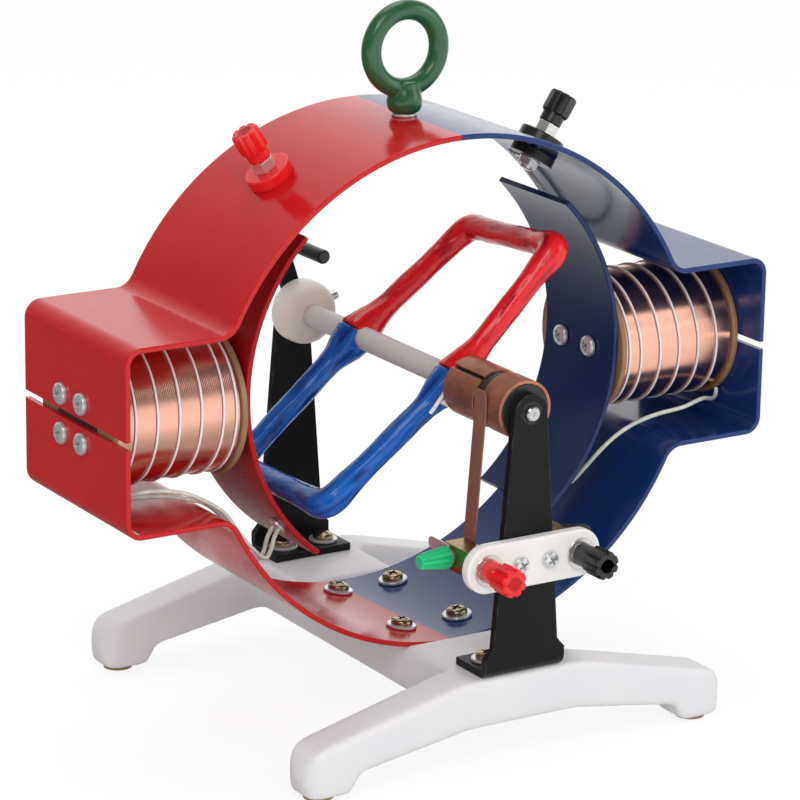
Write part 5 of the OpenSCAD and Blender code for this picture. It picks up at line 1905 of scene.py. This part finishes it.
@dataclass
class FieldLeads(SubAssembly):
    """The insulated leads of the field coils, held between their tags."""

    wire_r: float = 0.9
    sides: int = 10
    across: Spot = (0.02, 1.0, 0.01)
    upper: tuple[Spot, ...] = (
        (58.8, 11.2, 80.5), (59.9, 16.0, 80.6), (64.0, 23.0, 79.0), (71.0, 28.0, 74.9), (79.0, 31.0, 67.6),
        (87.0, 31.0, 58.0), (93.0, 30.0, 49.0), (96.0, 28.0, 41.0), (95.0, 25.0, 33.9), (91.2, 21.5, 29.4),
        (89.8, 19.4, 24.9),
    )
    lower_left: tuple[Spot, ...] = (
        (-146.5, -15.4, -24.9), (-145.0, -17.1, -27.3), (-141.0, -19.9, -27.6), (-133.0, -24.0, -25.5),
        (-124.0, -27.0, -25.5), (-113.0, -28.0, -29.0), (-100.0, -28.0, -37.5), (-93.0, -27.5, -47.0),
        (-86.0, -26.0, -55.0), (-79.0, -24.0, -61.0), (-74.5, -21.0, -59.5), (-71.5, -18.5, -55.5),
        (-68.7, -17.0, -52.6),
    )
    lower_twin: tuple[Spot, ...] = (
        (-146.5, -10.8, -27.5), (-145.0, -12.0, -30.1), (-141.0, -15.8, -29.6), (-133.0, -20.0, -28.5),
        (-124.0, -23.5, -28.5), (-114.0, -24.5, -31.0), (-106.0, -24.5, -34.0), (-98.0, -24.0, -41.0),
        (-91.0, -23.5, -50.0), (-85.1, -22.0, -57.9), (-79.9, -19.5, -62.6), (-74.9, -16.0, -61.5),
        (-71.6, -13.5, -56.6), (-68.7, -13.0, -52.6),
    )
    lower_right: tuple[Spot, ...] = (
        (146.5, -15.4, -24.9), (145.0, -17.1, -27.3), (141.0, -19.9, -27.6), (133.0, -24.0, -25.5),
        (121.0, -26.5, -27.0), (109.0, -26.5, -28.0), (99.0, -26.0, -30.1), (89.5, -25.5, -34.0),
        (82.0, -24.0, -40.1), (76.5, -20.0, -48.5), (72.0, -16.5, -55.0), (68.7, -15.0, -52.6),
    )

    def build(self) -> None:
        """Builds the upper and the lower leads."""
        upper_left = tuple((-x, y, z) for x, y, z in self.upper)
        for name, node, routes in (
            ("crown_field_leads", "upper_field_leads", (self.upper, upper_left)),
            ("bowl_field_leads", "lower_field_leads", (self.lower_left, self.lower_twin, self.lower_right)),
        ):
            first, *others = (self.lead(route, self.wire_r, self.sides, self.across) for route in routes)
            self.bench.put(first.joined(*others), name, SLEEVING, node, shading=Shading.WIRE)


@dataclass(frozen=True)
class Lamp:
    """A soft square lamp: its place and side in metres and its power in watts."""

    name: str
    place: Spot
    size: float
    power: float
    mirrored: bool = True

    def hang(self, aim: Spot) -> None:
        """Hangs the lamp.

        Args:
            aim: Point that it faces, in metres.
        """
        data = bpy.data.lights.new(self.name, "AREA")
        data.size, data.energy = self.size, self.power
        lamp = bpy.data.objects.new(self.name, data)
        lamp.visible_glossy = self.mirrored
        turn = (Vector(aim) - Vector(self.place)).to_track_quat("-Z", "Y").to_matrix().to_4x4()
        lamp.matrix_world = Matrix.Translation(self.place) @ turn
        bpy.context.scene.collection.objects.link(lamp)


@dataclass(frozen=True)
class Studio:
    """Camera, light and floor, in metres.

    A ramp holds where it starts and ends, and the light at both ends.
    """

    lens: float = 170.278
    sensor: float = 36.0
    clip: float = 0.05
    eye: Spot = (-0.78592, -1.240205, 0.55879)
    yaw: float = -32.0753
    pitch: float = 16.3432
    roll: float = -0.8632
    aim: Spot = (0.0, 0.0, 0.14)
    lamps: tuple[Lamp, ...] = (
        Lamp("key_lamp", (-0.9, -1.1, 1.5), 0.9, 9.0),
        Lamp("fill_lamp", (1.3, -0.9, 0.9), 0.9, 4.0),
        Lamp("top_lamp", (0.1, 0.5, 1.6), 1.0, 6.0),
        Lamp("front_lamp", (-0.25, -1.5, 0.45), 0.8, 4.8, mirrored=False),
    )
    floor_half: float = 6.0
    floor_tone: float = 0.86
    floor_glow: float = 1.06
    floor_share: float = 0.82
    # How bright the floor looks in reflections, by place: a painted shade under the model, full light beyond.
    mirrored_floor_shade_x: tuple[float, ...] = (-0.12, 0.2, 0.18, 1.05)
    mirrored_floor_shade_y: tuple[float, ...] = (0.0, -0.4, 0.18, 1.15)
    world: float = 0.62
    wall_at: Spot = (0.53, 0.85, 0.0)
    wall: tuple[float, ...] = (0.4, 1.0, 0.12, 1.36)
    card_at: Spot = (0.4, -0.9, -1.6)
    card: tuple[float, ...] = (0.25, 0.6, 0.0, 1.1)

    def camera(self) -> None:
        """Sets the camera at the photograph's view."""
        a, e, r = (math.radians(v) for v in (self.yaw, self.pitch, self.roll))
        back = Vector((math.sin(a) * math.cos(e), -math.cos(a) * math.cos(e), math.sin(e)))
        right = Vector((math.cos(a), math.sin(a), 0.0))
        down = (-back).cross(right)
        across = math.cos(r) * right + math.sin(r) * down
        below = -math.sin(r) * right + math.cos(r) * down
        data = bpy.data.cameras.new("camera")
        data.lens, data.sensor_width, data.clip_start = self.lens, self.sensor, self.clip
        camera = bpy.data.objects.new("camera", data)
        turn = Matrix((across, -below, back)).transposed().to_4x4()
        camera.matrix_world = Matrix.Translation(self.eye) @ turn
        bpy.context.scene.collection.objects.link(camera)
        bpy.context.scene.camera = camera

    def shown(self, tree: Tree) -> Socket:
        """1 for what the camera sees itself or through clear parts, else 0."""
        path = add(tree, "LightPath").outputs
        return maths(tree, "MAXIMUM", path["Is Camera Ray"], path["Is Transmission Ray"])

    def glossy(self, tree: Tree) -> Socket:
        """1 for what a glossy face mirrors, else 0."""
        return add(tree, "LightPath").outputs["Is Glossy Ray"]

    def floor(self) -> None:
        """Lays a white floor that keeps a soft shadow; in what glossy faces mirror, it is a glow painted dim
        under and behind the model and full to the right and near: painted shade.
        """
        bm = bmesh.new()
        bmesh.ops.create_grid(bm, x_segments=1, y_segments=1, size=self.floor_half)
        mesh = bpy.data.meshes.new("floor")
        bm.to_mesh(mesh)
        bm.free()
        floor = bpy.data.objects.new("floor", mesh)
        bpy.context.scene.collection.objects.link(floor)
        white = bpy.data.materials.new("floor_white")
        tree = bare_tree(white)
        plain = add(tree, "BsdfDiffuse", Color=(self.floor_tone,) * 3).outputs[0]
        bright = add(tree, "Emission", Color=WHITE, Strength=self.floor_glow).outputs[0]
        share = maths(tree, "MULTIPLY", self.shown(tree), self.floor_share)
        lit = add(tree, "MixShader", share, plain, bright).outputs[0]
        place = add(tree, "SeparateXYZ", add(tree, "NewGeometry").outputs["Position"]).outputs
        # For glossy rays the floor glows by place: dim under the model, to its left and behind, full to the
        # right and near; a painted shade and light.
        right = ramp(tree, place["X"], *self.mirrored_floor_shade_x)
        near = ramp(tree, place["Y"], *self.mirrored_floor_shade_y)
        level = maths(tree, "MAXIMUM", right, near)
        mirrored = add(tree, "Emission", Color=WHITE, Strength=level).outputs[0]
        whole = add(tree, "MixShader", self.glossy(tree), lit, mirrored).outputs[0]
        add(tree, "OutputMaterial", Surface=whole)
        mesh.materials.append(white)

    def sky(self) -> None:
        """Surrounds the model with a plain white backdrop in a dimmer room."""
        world = bpy.data.worlds.new("white_room")
        bpy.context.scene.world = world
        tree = bare_tree(world)
        look = add(tree, "TexCoord").outputs["Generated"]
        wall = ramp(tree, along(tree, look, self.wall_at), *self.wall)
        card = ramp(tree, along(tree, look, self.card_at), *self.card, kind="SMOOTHSTEP")
        around = maths(tree, "MAXIMUM", wall, card)
        level = add(tree, "Mix", self.glossy(tree), None, self.world, around, data_type="FLOAT").outputs[0]
        most = maths(tree, "MAXIMUM", self.shown(tree), level)
        back = add(tree, "Background", Color=WHITE, Strength=most).outputs[0]
        add(tree, "OutputWorld", Surface=back)

    def build(self) -> None:
        """Sets up the whole studio."""
        bpy.context.scene.view_settings.view_transform = "Standard"
        self.camera()
        self.floor()
        self.sky()
        for lamp in self.lamps:
            lamp.hang(self.aim)


def main() -> None:
    """Dresses the whole model in order."""
    logging.basicConfig(level=logging.INFO, format="%(relativeCreated)7.0f ms  %(message)s")
    for thing in list(bpy.data.objects):
        bpy.data.objects.remove(thing)
    bench = Bench(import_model())
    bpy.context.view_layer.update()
    Studio().build()
    for group in (
        MagnetRing, Stand, EyeBolt, FieldCoils, Armature, Commutator, Crank, BindingPosts, BrushGear,
        Fasteners,
        FieldLeads,
    ):
        group(bench).build()
    log.info("%d pieces made", len(bench.made))


if __name__ == "__main__":
    main()
